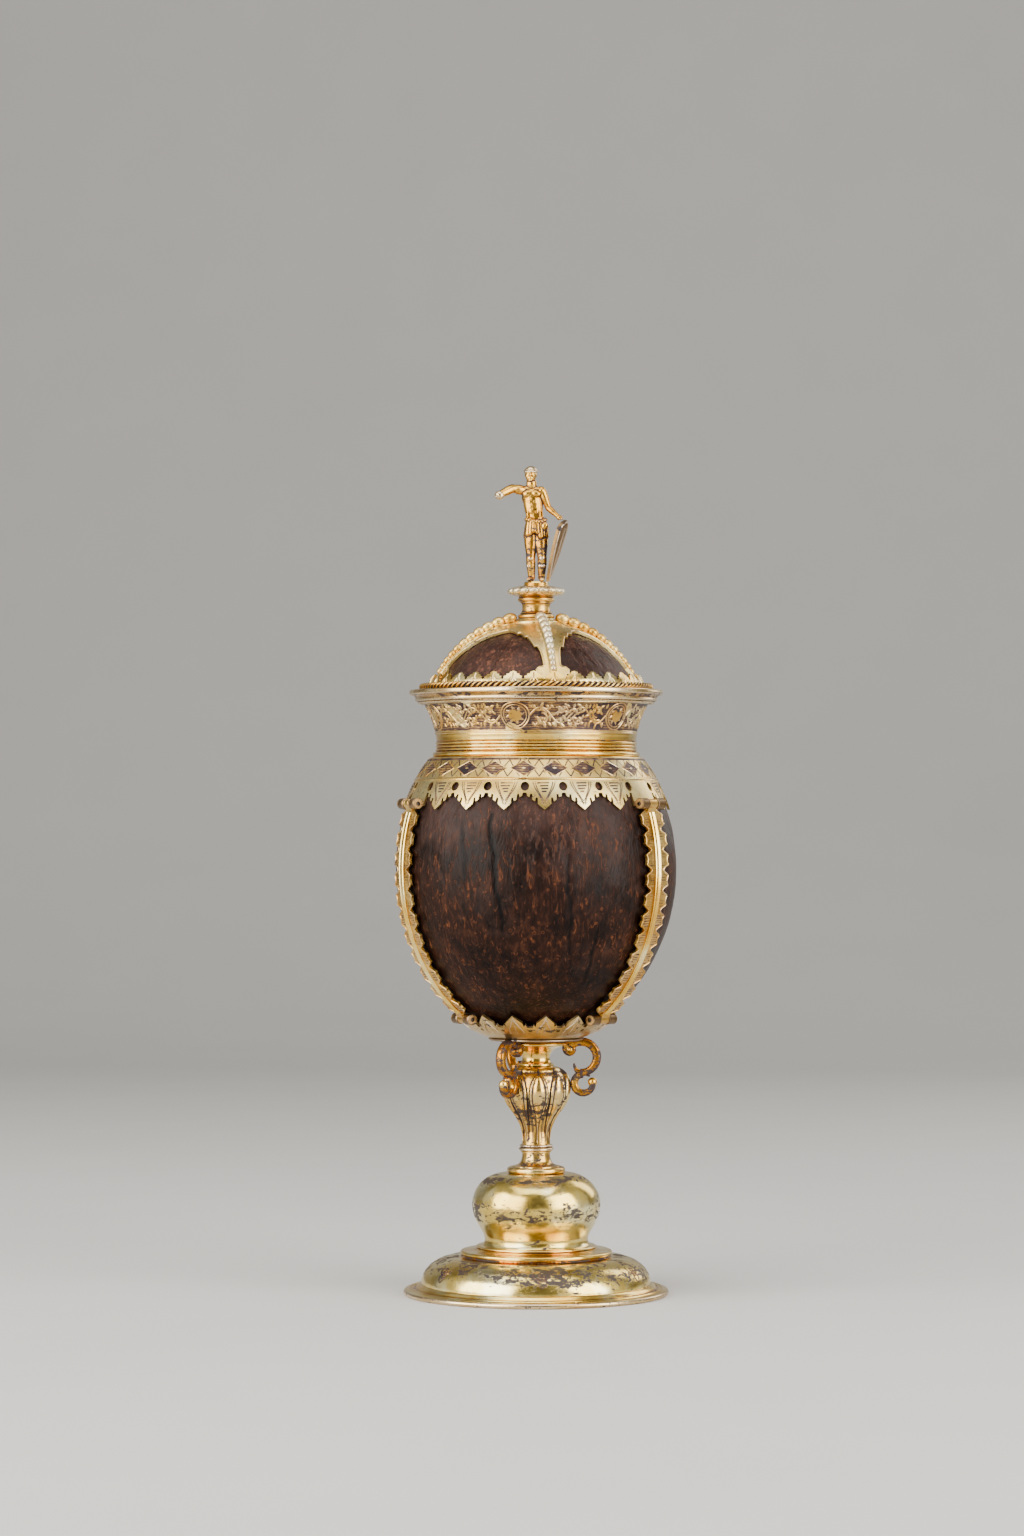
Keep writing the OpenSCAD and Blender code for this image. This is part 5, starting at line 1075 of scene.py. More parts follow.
def build_shoulder():
    """Leaf-edged band on the nut's shoulder, its engraving, a row of lozenges and the upper hinge tubes."""
    ref = 44.0

    def laid(u, z, h):
        return polar(nut_radius(z, BAND_GAP + h), math.degrees(u / ref), z)
    count, pitch = SHOULDER_LEAVES // SIDES, math.tau / SHOULDER_LEAVES * ref
    far = count * pitch
    tab, apex, high = Z_HINGE - 0.8, Z_LEAF_CUT + 0.8, Z_REEDS - 0.15
    edge = [(u, apex - (apex - Z_LEAF_TIP) * s) for u, s in leaf_edge(count - 1, pitch, NOTCHED)]
    lower = [(0, tab), (edge[0][0] - 0.4, tab), (edge[0][0] - 0.4, apex)] + edge
    lower += [(far - u, v) for u, v in lower[2::-1]]
    eye = Z_LEAF_CUT + PIERCED_UP
    holes = [circle(((i + 0.5) * pitch, eye), PIERCED_R, 22) for i in range(count)]
    third = cut_sheet(lower + [(far, high), (0, high)], holes, laid, 0, SHEET, 1.1)
    ringed(third, SIDES, "shoulder_leaf_band", GILT_PALE, "cup", ["shoulder_band"], first=STRAP_TURN)
    dark = Shape()
    for i in range(1, count):
        mid = i * pitch
        for side in (-1, 1):
            for out, deep in ((3.9, 1.4), (3.1, 0.2)):
                ogee = curve((mid + side * out, eye + 1.5), (mid + side * (out - 0.6), eye - 1.2),
                             (mid + side * 1.5, eye - 2.4), (mid + side * 0.25, eye - 4.6 - deep), 12)
                dark.join(raised(ogee, laid, 0.34, 0.06))
        for n in range(4):
            half, up = 2.4 - 0.5 * n, eye + 1.1 - 0.95 * n
            left, right = (half * (0.85 + 0.15 * math.sin(2.1 * i + 1.7 * n + k)) for k in (0, 2))
            dark.join(raised([(mid - left, up), (mid + right, up + 0.06)], laid, 0.52, 0.1))
    ringed(dark, SIDES, "shoulder_leaf_strokes", DARK_GROUND, "cup", first=STRAP_TURN)
    on_nut = nut_radius(high, BAND_GAP)
    trim = lathe([(REED_IN, high - 0.75), (on_nut + 0.2, high - 0.75), (on_nut + 0.9, high - 0.3),
                  (on_nut + 0.5, Z_REEDS), (REED_IN, Z_REEDS)])
    trim.join(raised(hoop(ref, Z_LEAF_CUT + 5.5), laid, 0.8, 0.35, closed=True))
    piece(trim, "shoulder_plain_lines", GILT, "cup")
    # A thin strip of the dark engraved ground along the band's top: painted shadow of the gap between band and neck.
    piece(raised(hoop(ref, high - 0.75), laid, 0.7, 0.1, closed=True), "shoulder_gap_shadow_line", DARK_GROUND, "cup")
    z0, z1 = Z_LEAF_CUT + 6.1, high - 1.0
    step = math.tau * ref / LOZENGES
    mid, half = (z0 + z1) / 2, (z1 - z0) / 2 - 0.1
    lozenge = [(0, mid - half + 0.35), (0.43 * step, mid), (0, mid + half - 0.35), (-0.43 * step, mid)]
    panels = cut_sheet(lozenge, [], laid, SHEET - 0.1, SHEET + 0.05, 1.0)
    lines = raised(filled(lozenge + lozenge[:1], 1.2)[:-1], laid, 0.32, 0.2, closed=True)
    for side in (-1, 1):
        for up in (-1, 1):
            slope = [(side * 0.5 * step, mid + up * half), (side * 0.12 * step, mid - up * half)]
            panels.join(raised(filled(slope, 1.2), laid, 0.42, 0.06))
    core = [(0, mid - 0.3), (0.9, mid), (0, mid + 0.3), (-0.9, mid)]
    lines.join(cut_sheet(core, [], laid, SHEET - 0.05, SHEET + 0.2, 0.8))
    ringed(lines, LOZENGES, "shoulder_lozenge_lines", GILT_PALE, "cup", first=-1)
    ringed(panels, LOZENGES, "shoulder_lozenge_panels", DARK_GROUND, "cup", first=-1)
    tubes = Shape()
    knuckle = (BARREL_L - MIDDLE_L) / 2 - KNUCKLE_GAP
    root = HINGE_R - HINGE_OUT
    web = [(root - 0.4, Z_HINGE - 0.7), (HINGE_R - 1, Z_HINGE - 0.9), (HINGE_R - 1, Z_HINGE + 0.9),
           (root - 0.6, Z_HINGE + 0.7)]
    for turn in (upright(STRAP_TURN + i * SIDE_TURN) for i in range(SIDES)):
        tubes.join(outer_tubes(HINGE_R, Z_HINGE), turn)
        for y in (-BARREL_L / 2, BARREL_L / 2 - knuckle):
            tubes.join(prism(web, y + 0.1, y + knuckle - 0.1), turn)
    piece(tubes, "shoulder_hinge_tubes", AGED_GILT, "cup")


# Neck and lip

def tendril(start, heading, bend, length, n):
    """A short stem that starts at a place and curls evenly."""
    x, y = start
    made = [start]
    a = math.radians(heading)
    for _ in range(n):
        a += math.radians(bend) / n
        x, y = x + math.cos(a) * length / n, y + math.sin(a) * length / n
        made.append((x, y))
    return made


def build_lip():
    """Reeded neck, flared lip, and the foliage engraved round it."""
    z = Z_REEDS
    neck = [(REED_IN, z)] + arc((REED_R + 0.1, z + 0.9), 0.95, 0.9, -85, 80, 10)
    for inset, up in ((0.5, 2.5), (0.6, 3.6), (0.5, 4.7)):
        neck += arc((REED_R - inset, z + up), 0.6, 0.5, -80, 80, 8)
    neck += curve((REED_R - 0.3, z + 5.4), (REED_R - 0.2, z + 6.2), (REED_R - 0.2, z + 6.6), (REED_R, Z_LIP - 0.3), 6)
    neck += [(REED_R, Z_LIP), (REED_IN, Z_LIP)]
    wander = by_hand(0.05)
    piece(lathe(neck, shape=wander), "neck_reeded_moulding", GILT, "cup", ["neck_moulding"])
    line = curve((REED_R, Z_LIP), (REED_R + 0.4, Z_LIP + 4.44), (LIP_R - 2, Z_LIP + 8.3), (LIP_R, Z_LIP_TOP), 36)
    piece(lathe(shell(line, SHEET), shape=wander), "lip_flared_band", GILT_PALE, "cup", ["lip_band"])
    ref = 36.0
    laid, length = wrapped(line, ref)
    border = Shape()
    for v, w in ((0.3, 0.6), (0.9, 0.35), (length - 0.85, 0.35), (length - 0.3, 0.5)):
        border.join(raised(hoop(ref, v), laid, w, 0.22, 0, closed=True))
    piece(border, "lip_border_lines", GILT, "cup")
    low_v, high_v = 1.0, length - 0.9
    place, _ = on_line(line)
    face = [place(low_v + (high_v - low_v) * i / 16) for i in range(17)]
    plate = [(r + 0.03 * nr, z + 0.03 * nz) for r, z, nr, nz in face]
    plate += [(r - 0.2 * nr, z - 0.2 * nz) for r, z, nr, nz in face[::-1]]
    piece(lathe(plate), "lip_engraved_ground", DARK_GROUND, "cup")
    mid, half = (low_v + high_v) / 2, (high_v - low_v) / 2
    leafy = Shape()

    def stem(path, w=0.5):
        leafy.join(raised(path, laid, w, 0.2, 0.02, taper=lambda t: 1.1 - 0.4 * t))

    def leaf(at, heading, long, w):
        leafy.join(raised(tendril(at, heading, 30, long, 6), laid, w, 0.22, 0.02,
                          taper=lambda t: 0.15 + 0.85 * math.sin(math.pi * min(1, 0.1 + 0.9 * t)) ** 0.8))

    def leaves_along(path, long, every=5):
        for k in range(every, len(path) - 1, every):
            p, q = path[k], path[k + 1]
            heading = math.degrees(math.atan2(q[1] - p[1], q[0] - p[0]))
            for turn in (-58, 58):
                leaf(p, heading + turn, long, 0.95)
    for r, w in ((half - 0.3, 0.55), (half - 1.2, 0.4)):
        leafy.join(raised(circle((0, mid), r, 30), laid, w, 0.24, 0.02, closed=True))
    leafy.join(cut_sheet(circle((0, mid), half - 2.9, 20), [], laid, -0.1, 0.3, 0.8))
    for turn in even_turns(8):
        leaf((0.3 * math.cos(turn), mid + 0.3 * math.sin(turn)), math.degrees(turn), half - 2.0, 1.1)
    wave = math.pi * ref / LIP_REPEATS - half
    for side in (-1, 1):
        run = [(side * (half + wave * k / 40), mid + side * 0.55 * half * math.sin(math.tau * k / 40))
               for k in range(41)]
        stem(run, 0.65)
        leaves_along(run, 2.2)
        for k, up in ((11, -1), (31, 1)):
            eye = (run[k][0], mid + side * up * 0.30 * half)
            first = -90 * side * up
            curl = spiral(eye, 0.46 * half, 0.25, first, first + 470 * up, 34)
            stem(curl)
            leaves_along(curl[:22], 1.6)
            leaf(eye, 40, 0.9, 1.1)
        for k in (2, 18, 22, 38):
            for up in (-1, 1):
                leaf((run[k][0], mid + up * 0.5 * half), 90 * up + 25 * side, 1.7, 0.8)
    ringed(leafy, LIP_REPEATS, "lip_engraved_foliage", GILT_CUT, "cup", first=-6.3)


# Straps

# A rib's section, as shares of its width and height, and the edge of one scallop, as shares of its length and depth
REEDED = [(-0.5, -0.1), (0.5, -0.1), (0.5, 0.4), (0.4, 0.58), (0.29, 0.45), (0.22, 0.86), (0.1, 1.0), (0, 0.84),
          (-0.1, 1.0), (-0.22, 0.86), (-0.29, 0.45), (-0.4, 0.58), (-0.5, 0.4)]
SCALLOP = [(0.0, 0.0), (0.1, 0.22), (0.24, 0.92), (0.29, 1.0), (0.36, 0.86), (0.5, 0.78), (0.64, 0.86), (0.71, 1.0),
           (0.76, 0.92), (0.9, 0.22)]


def strap_hinges():
    """Knuckles at a strap's ends, with the webs that join them to it: closed above, and open to the nut below."""
    half, off = MIDDLE_L / 2, STRAP_GAP + SHEET
    z = Z_STRAP_TOP - 1
    made = prism([(nut_radius(z, STRAP_GAP), z), (nut_radius(z, off), z), (HINGE_R + BARREL_R - 0.4, Z_HINGE),
                  (HINGE_R - BARREL_R + 0.4, Z_HINGE)], -half, half)
    z = Z_STRAP_LOW + 0.6
    made.join(prism([(nut_radius(z, STRAP_GAP), z), (LOW_HINGE_R + 0.2, Z_LOW_HINGE + BARREL_R - 0.3),
                     (LOW_HINGE_R + BARREL_R - 0.2, Z_LOW_HINGE + 0.2), (nut_radius(z, off), z)], -half, half))
    made.join(tube(HINGE_R, Z_HINGE, -half, half, BARREL_R, BORE_R))
    mouth = 180 - math.degrees(math.atan2(HINGE_R - LOW_HINGE_R, Z_HINGE - Z_LOW_HINGE))
    pivot = (LOW_HINGE_R, Z_LOW_HINGE)
    hook = (arc(pivot, BARREL_R, BARREL_R, mouth + 34, mouth + 326, 26)
            + arc(pivot, OPEN_R, OPEN_R, mouth + 270, mouth + 90, 16))
    return made.join(prism(hook, -half, half))


def build_straps():
    """Three scalloped straps with engraved panels, reeded ribs and knuckles."""
    line = nut_line(nut_angle(Z_STRAP_LOW, STRAP_GAP), nut_angle(Z_STRAP_TOP, STRAP_GAP), STRAP_GAP, 60)
    place, length = on_line(line)
    lobe = length / SCALLOPS
    edge = [(STRAP_NOTCH_W + (STRAP_W - STRAP_NOTCH_W) * w, (i + t) * lobe)
            for i in range(SCALLOPS) for t, w in SCALLOP] + [(STRAP_NOTCH_W, length)]
    outline = edge + [(-w, v) for w, v in edge[::-1]]
    inner, outer = RIB_W / 2 + 0.5, 4.6
    sunk = ((inner, 0.2), (3.6, 0.2), (5.3, 0.32), (4.8, 0.5), (5.3, 0.68), (3.6, 0.8), (inner, 0.8))
    for i in range(SIDES):
        turn = STRAP_TURN + i * SIDE_TURN
        body = f"strap_{i + 1}"

        def laid(u, v, h):
            r, z, nr, nz = place(v)
            return polar(r + h * nr + u * u / (2 * r), turn + math.degrees(u / r), z + h * nz)
        plate = cut_sheet(outline, [], laid, 0, SHEET, 1.0)
        panels = Shape()
        for side in (-1, 1):
            plate.join(raised([(side * (w - 0.3), v) for w, v in edge], laid, 0.5, 0.22))
            for k in range(SCALLOPS):
                v = k * lobe
                if k < SUNK_SCALLOPS:
                    panel = [(side * x, v + t * lobe) for x, t in sunk][::side]
                    panels.join(cut_sheet(panel, [], laid, SHEET - 0.15, SHEET + 0.04, 0.9))
                    for t in (0.36, 0.5, 0.64):
                        vein = [(side * inner, v + t * lobe), (side * (outer - abs(t - 0.5)), v + (t + 0.03) * lobe)]
                        plate.join(raised(vein, laid, 0.4, 0.2))
                else:
                    for n in range(5):
                        up = v + (0.22 + 0.14 * n) * lobe
                        stroke = [(side * inner, up), (side * (outer - 0.5 * (n % 2)), up)]
                        panels.join(raised(stroke, laid, 0.26, 0.06))
        plate.join(strap_hinges(), upright(turn))
        piece(plate, f"strap_scalloped_{i + 1}", GILT_CUT, body, [f"strap_{i + 1}"])
        piece(panels, f"strap_panels_{i + 1}", GROUND, body)
        rib = raised([(0, 0.8 + (length - 2.0) * k / 70) for k in range(71)], laid, RIB_W, RIB_H, section=REEDED)
        piece(rib, f"strap_reeded_rib_{i + 1}", GILT, body, [f"strap_rib_{i + 1}"])


# Lid

# The rim's slope from below, as (share of the way up, stand-off): bead, bead, wide hollow, edge
RIM_MOULDING = [(0.0, 0.0), (0.03, 0.35), (0.10, 0.5), (0.17, 0.38), (0.2, 0.05), (0.24, 0.05), (0.27, 0.4),
                (0.34, 0.55), (0.41, 0.4), (0.44, 0.0), (0.52, -0.25), (0.64, -0.32), (0.76, -0.2), (0.84, 0.0),
                (0.86, 0.3), (0.93, 0.4), (1.0, 0.25)]
# The rim's top from its edge inwards, as (distance in, distance down)
RIM_TOP = [(0, 0.75), (0, 0.3), (0.3, 0), (1.0, 0), (1.3, 0.25), (1.6, 0), (2.4, 0), (2.7, 0.2), (3.0, 0)]
# Half a fringe leaf's edge, from its foot to its tip, as shares of its width and its height
FRINGE_SIDE = [(0.5, 0), (0.42, 0.18), (0.44, 0.34), (0.30, 0.44), (0.32, 0.6), (0.16, 0.68), (0.17, 0.84), (0, 1)]


def build_lid_rim():
    """Moulded rim, twisted rope and leaf fringe."""
    inner, edge_in, seat = BEZEL_R - SHEET - 2, LIP_R + 0.6, Z_LIP_TOP + 0.2
    line = [(inner, Z_PLATE), (inner, Z_PLATE - 1.2), (BEZEL_R + 0.02, Z_PLATE - 1.2), (BEZEL_R + 0.02, seat),
            (edge_in, seat), (edge_in, Z_RIM)]
    start, end = Vector((edge_in + 0.2, Z_RIM)), Vector((RIM_R - 0.1, Z_PLATE - 0.9))
    down = Vector((end.y - start.y, start.x - end.x)).normalized()
    line += [tuple(start.lerp(end, t) + off * down) for t, off in RIM_MOULDING]
    line += [(RIM_R - x, Z_PLATE - z) for x, z in RIM_TOP]
    piece(lathe(line, shape=by_hand(0.05)), "lid_moulded_rim", SILVER, "lid", ["lid_rim"])
    rope = grown(rope_tree(), Shape(), "lid_rope_twist", GILT_CUT, {
        "Rope radius": ROPE_R * MM, "Strand radius": 0.225 * ROPE_D * MM, "Lay": 0.275 * ROPE_D * MM,
        "Turns": ROPE_TURNS, "Height": Z_ROPE * MM})
    x, y, z = read(rope, "co").T / MM
    # The strands only touch, so their grooves are marked by the distance from the rope's own centre line. Marked as
    # hollows, they get the gilt's painted shade as well as its tarnish.
    off = np.hypot(np.hypot(x, y) - ROPE_R, z - Z_ROPE) / ROPE_D
    marked(rope, "bend", np.interp(off, (0.4, 0.48), (-0.55, 0.2)))
    finished(rope, "lid_rope_twist", GILT_CUT, "lid", ["lid_rope"], 60)
    line = curve((FRINGE_R, Z_PLATE), (FRINGE_R + 0.1, Z_PLATE + 0.3 * FRINGE_H),
                 (FRINGE_R - 0.9, Z_PLATE + 0.7 * FRINGE_H), (FRINGE_R - 2.3, Z_PLATE + FRINGE_H), 16)
    ref = 36.0
    laid, length = wrapped(line, ref)
    pitch = math.tau * ref / FRINGE_PARTS
    foot = length * (1 - FRINGE_CUT / FRINGE_H)
    edge = [(w * pitch, foot + s * (length - foot)) for w, s in FRINGE_SIDE]
    outline = [(-pitch / 2, 0), (pitch / 2, 0)] + edge + [(-w, v) for w, v in edge[-2::-1]]
    leaf = cut_sheet(outline, [], laid, -SHEET, 0, 0.8)
    leaf.join(raised([(0, 0.8 + k * (length - 1.6) / 6) for k in range(7)], laid, 0.5, 0.22, 0))
    for s in (-1, 1):
        leaf.join(raised([(s * 2.2, 0.9), (s * 1.2, 2.4), (s * 0.5, 3.6)], laid, 0.4, 0.16, 0))
    ringed(leaf, FRINGE_PARTS, "lid_leaf_fringe", GILT, "lid", ["lid_fringe"], first=LID_TURN)


def build_lid_shell():
    """The lid's domed piece of nut, with dents, fibres and cracks in its outside."""
    line = []
    for r, rows in ((BALL_R, LID_NUT_ROWS), (BALL_R - NUT_WALL, LID_NUT_IN_ROWS)):
        base, hole = math.degrees(math.asin((Z_PLATE - Z_BALL) / r)), math.degrees(math.acos(BOLT_HOLE / r))
        line += arc((0, Z_BALL), r, r, base, hole, rows)[::-1 if line else 1]
    depth = np.zeros((len(line), LID_NUT_TURNS))

    def scraped(phi, r, z):
        a = np.radians(phi)
        wave = uneven(phi, z, 0.12) + 0.03 * np.sin(71 * a + 0.7 * np.sin(0.3 * z)) + 0.03 * np.sin(43 * a + 0.4 * z)
        depth[:] = crack_depths(LID_CRACKS, phi, r, z, 0.7 * np.sin(0.5 * z), 0.35, 0)
        depth[LID_NUT_ROWS + 1:] = wave[LID_NUT_ROWS + 1:] = 0
        return r + np.minimum(wave, 0.1) - 0.4 * depth, z
    mesh = as_mesh(lathe(line, LID_NUT_TURNS, scraped), "lid_nut", weld=False)
    # The crack mark drives the near-black painted shade in the cracks.
    marked(mesh, "crack", np.clip(depth, 0, 1))
    finished(mesh, "lid_coconut_dome", LID_NUT, "lid", ["lid_shell"], 60)


# Half an arm's edge, as (distance from the middle, half width)
ARM_SIDE = [(11.5, 11.5), (13.5, 10.3), (15.6, 9.7), (16.6, 9.6), (16.4, 8.6), (18.6, 7.9), (20.2, 7.7), (20.0, 6.8),
            (22.4, 6.2), (25.2, 5.6), (26.6, 5.4), (26.3, 4.4), (28.5, 3.8), (31.0, 3.5), (35.2, 3.3), (36.0, 4.0),
            (35.9, 5.6), (36.8, 6.6), (38.4, 6.5), (38.8, 5.3), (39.8, 5.7), (41.2, 4.6), (41.6, 2.6), (43.6, 1.9)]


def build_crown():
    """Four straps over the dome with a boss in their middle, and a row of beads down each."""
    def laid(x, y, h):
        far = math.hypot(x, y)
        a = far / CROWN_IN
        s = (CROWN_IN + h) * (math.sin(a) / far if far else 1 / CROWN_IN)
        return (s * x, s * y, Z_BALL + (CROWN_IN + h) * math.cos(a))
    arm_turns = [LID_TURN - 90 + i * ARM_TURN for i in range(LID_ARMS)]
    outline, rims, rails = [], [], []
    for turn in arm_turns:
        c, s = math.cos(math.radians(turn)), math.sin(math.radians(turn))
        arm = [(x, -y) for x, y in ARM_SIDE] + [(x, y) for x, y in ARM_SIDE[:0:-1]]
        outline += [(x * c - y * s, x * s + y * c) for x, y in arm]
        for side in (-1, 1):
            rims.append([(x * c - side * (y - 0.45) * s, x * s + side * (y - 0.45) * c) for x, y in ARM_SIDE[:-2]])
        rails.append([((7 + k) * c, (7 + k) * s) for k in range(33)])
    crown = cut_sheet(outline, [circle((0, 0), BOLT_HOLE + 0.2, 18)], laid, 0, SHEET, 1.0)
    for lines, width, height in ((rims, 0.55, 0.22), (rails, 3.0, 0.9)):
        for path in lines:
            crown.join(raised(path, laid, width, height))
    z = Z_BALL + CROWN_IN + SHEET
    boss = ([(BOLT_HOLE, z - 1.2), (BOSS_R + 1.2, z - 1.3)] + arc((BOSS_R + 0.2, z - 0.5), 0.9, 0.7, -60, 80, 8)
            + [(BOSS_R - 0.2, Z_BOSS), (BOLT_HOLE, Z_BOSS)])
    crown.join(lathe(boss, 120))
    piece(crown, "lid_crown_straps", GILT_PALE, "lid", ["lid_crown"])
    tree = bead_tree()
    bead = ball((0, 0, 0), (1.14 / MM, 0.9 / MM, 0.82 / MM), steps=22)
    seat = CROWN_IN + SHEET
    first = math.asin((BOSS_R + BEAD_R + 0.3) / (seat + BEAD_R))
    for i, turn in enumerate(arm_turns):
        name, finish = f"lid_bead_row_{i + 1}", GILT_BEADS if i else SILVER_BEADS
        made = grown(tree, bead, name, finish, {
            "Beads": BEADS, "Largest": BEAD_R * MM, "Step": BEAD_STEP, "Ball radius": seat * MM,
            "First angle": first, "Azimuth": math.radians(turn), "Ball height": Z_BALL * MM})
        finished(made, name, finish, "lid", [f"lid_beads_{i + 1}"], 60)


# Finial and figure

def build_finial():
    """Ringed spool, gadrooned disc and low plinth."""
    z, h, r = Z_BOSS, Z_DISC - Z_BOSS, FINIAL_R
    spool = ([(BOLT_HOLE, z), (r, z)] + arc((r - 0.7, z + 0.8), 0.7, 0.7, -60, 80, 8)
             + [(r - 1.0, z + 1.7), (r - 0.75, z + 1.9), (r - 1.0, z + 2.15)]
             + curve((r - 1.25, z + 2.3), (r - 1.6, z + 0.45 * h), (r - 1.6, z + 0.6 * h), (r - 1.2, Z_DISC - 2.3), 10)
             + [(r - 0.9, Z_DISC - 2.2), (r - 0.9, Z_DISC - 1.9)]
             + arc((r - 0.8, Z_DISC - 1.1), 0.8, 0.75, -70, 70, 8) + [(r - 0.2, Z_DISC), (BOLT_HOLE, Z_DISC)])
    piece(lathe(spool, 160, by_hand(0.03)), "finial_ringed_spool", GILT_CUT, "lid", ["finial_spool"])
    z, h = Z_DISC, Z_PLINTH - Z_DISC
    core = ([(BOLT_HOLE, z)] + curve((5.6, z), (7.4, z + 0.1), (8.2, z + 0.5), (8.4, z + 0.5 * h), 8)
            + curve((8.3, z + 0.6 * h), (8.0, Z_PLINTH - 0.3), (6.4, Z_PLINTH), (4.8, Z_PLINTH), 8)
            + [(BOLT_HOLE, Z_PLINTH)])
    piece(lathe(core, 120), "finial_disc_core", SILVER, "lid", ["finial_disc"])
    petal = ball((0, 0, 0), (1, 1, 1), steps=22)
    shaped = []
    for x, y, up in petal.points:
        along, round_off = (x + 1) / 2, math.sqrt(max(1 - x * x, 1e-9))
        out = DISC_R - 5.3 * (1 - along)
        wide = out * math.tan(math.pi / GADROONS) * min(1, 1.5 * round_off)
        thick = 0.5 * h * (1 - 0.6 * along ** 1.5) * min(1, 1.7 * round_off)
        shaped.append((y / round_off * wide, -out, z + h / 2 + up / round_off * thick))
    petal.points = shaped
    ringed(petal, GADROONS, "finial_gadroons", SILVER_BEADS, "lid", crease=60)
    z, r = Z_PLINTH, PLINTH_R
    plinth = [(0, z), (r - 0.1, z), (r, z + 0.3), (r - 0.35, z + 0.6), (r - 0.2, z + 1.0), (r - 0.5, Z_FIGURE - 0.05),
              (0, Z_FIGURE)]
    piece(lathe(plinth, 90, by_hand(0.1)), "finial_low_plinth", GILT, "lid", ["finial_plinth"])


def skinned(shape, name, finish, nodes=()):
    """Parts that run into each other, drawn together into one cast skin that stands on the plinth."""
    obj = placed(name + "_parts", as_mesh(shape, name + "_parts", weld=False))
    skin_over = obj.modifiers.new("one skin", "REMESH")
    skin_over.mode, skin_over.voxel_size = "VOXEL", SKIN_GRAIN * MM
    ease = obj.modifiers.new("ease", "SMOOTH")
    ease.factor, ease.iterations = 0.5, 5
    made = evaluated(obj)
    at = read(made, "co")
    at[:, 2] = np.maximum(at[:, 2], Z_FIGURE * MM)
    made.vertices.foreach_set("co", at.ravel())
    finished(made, name, finish, "lid", nodes, 80)


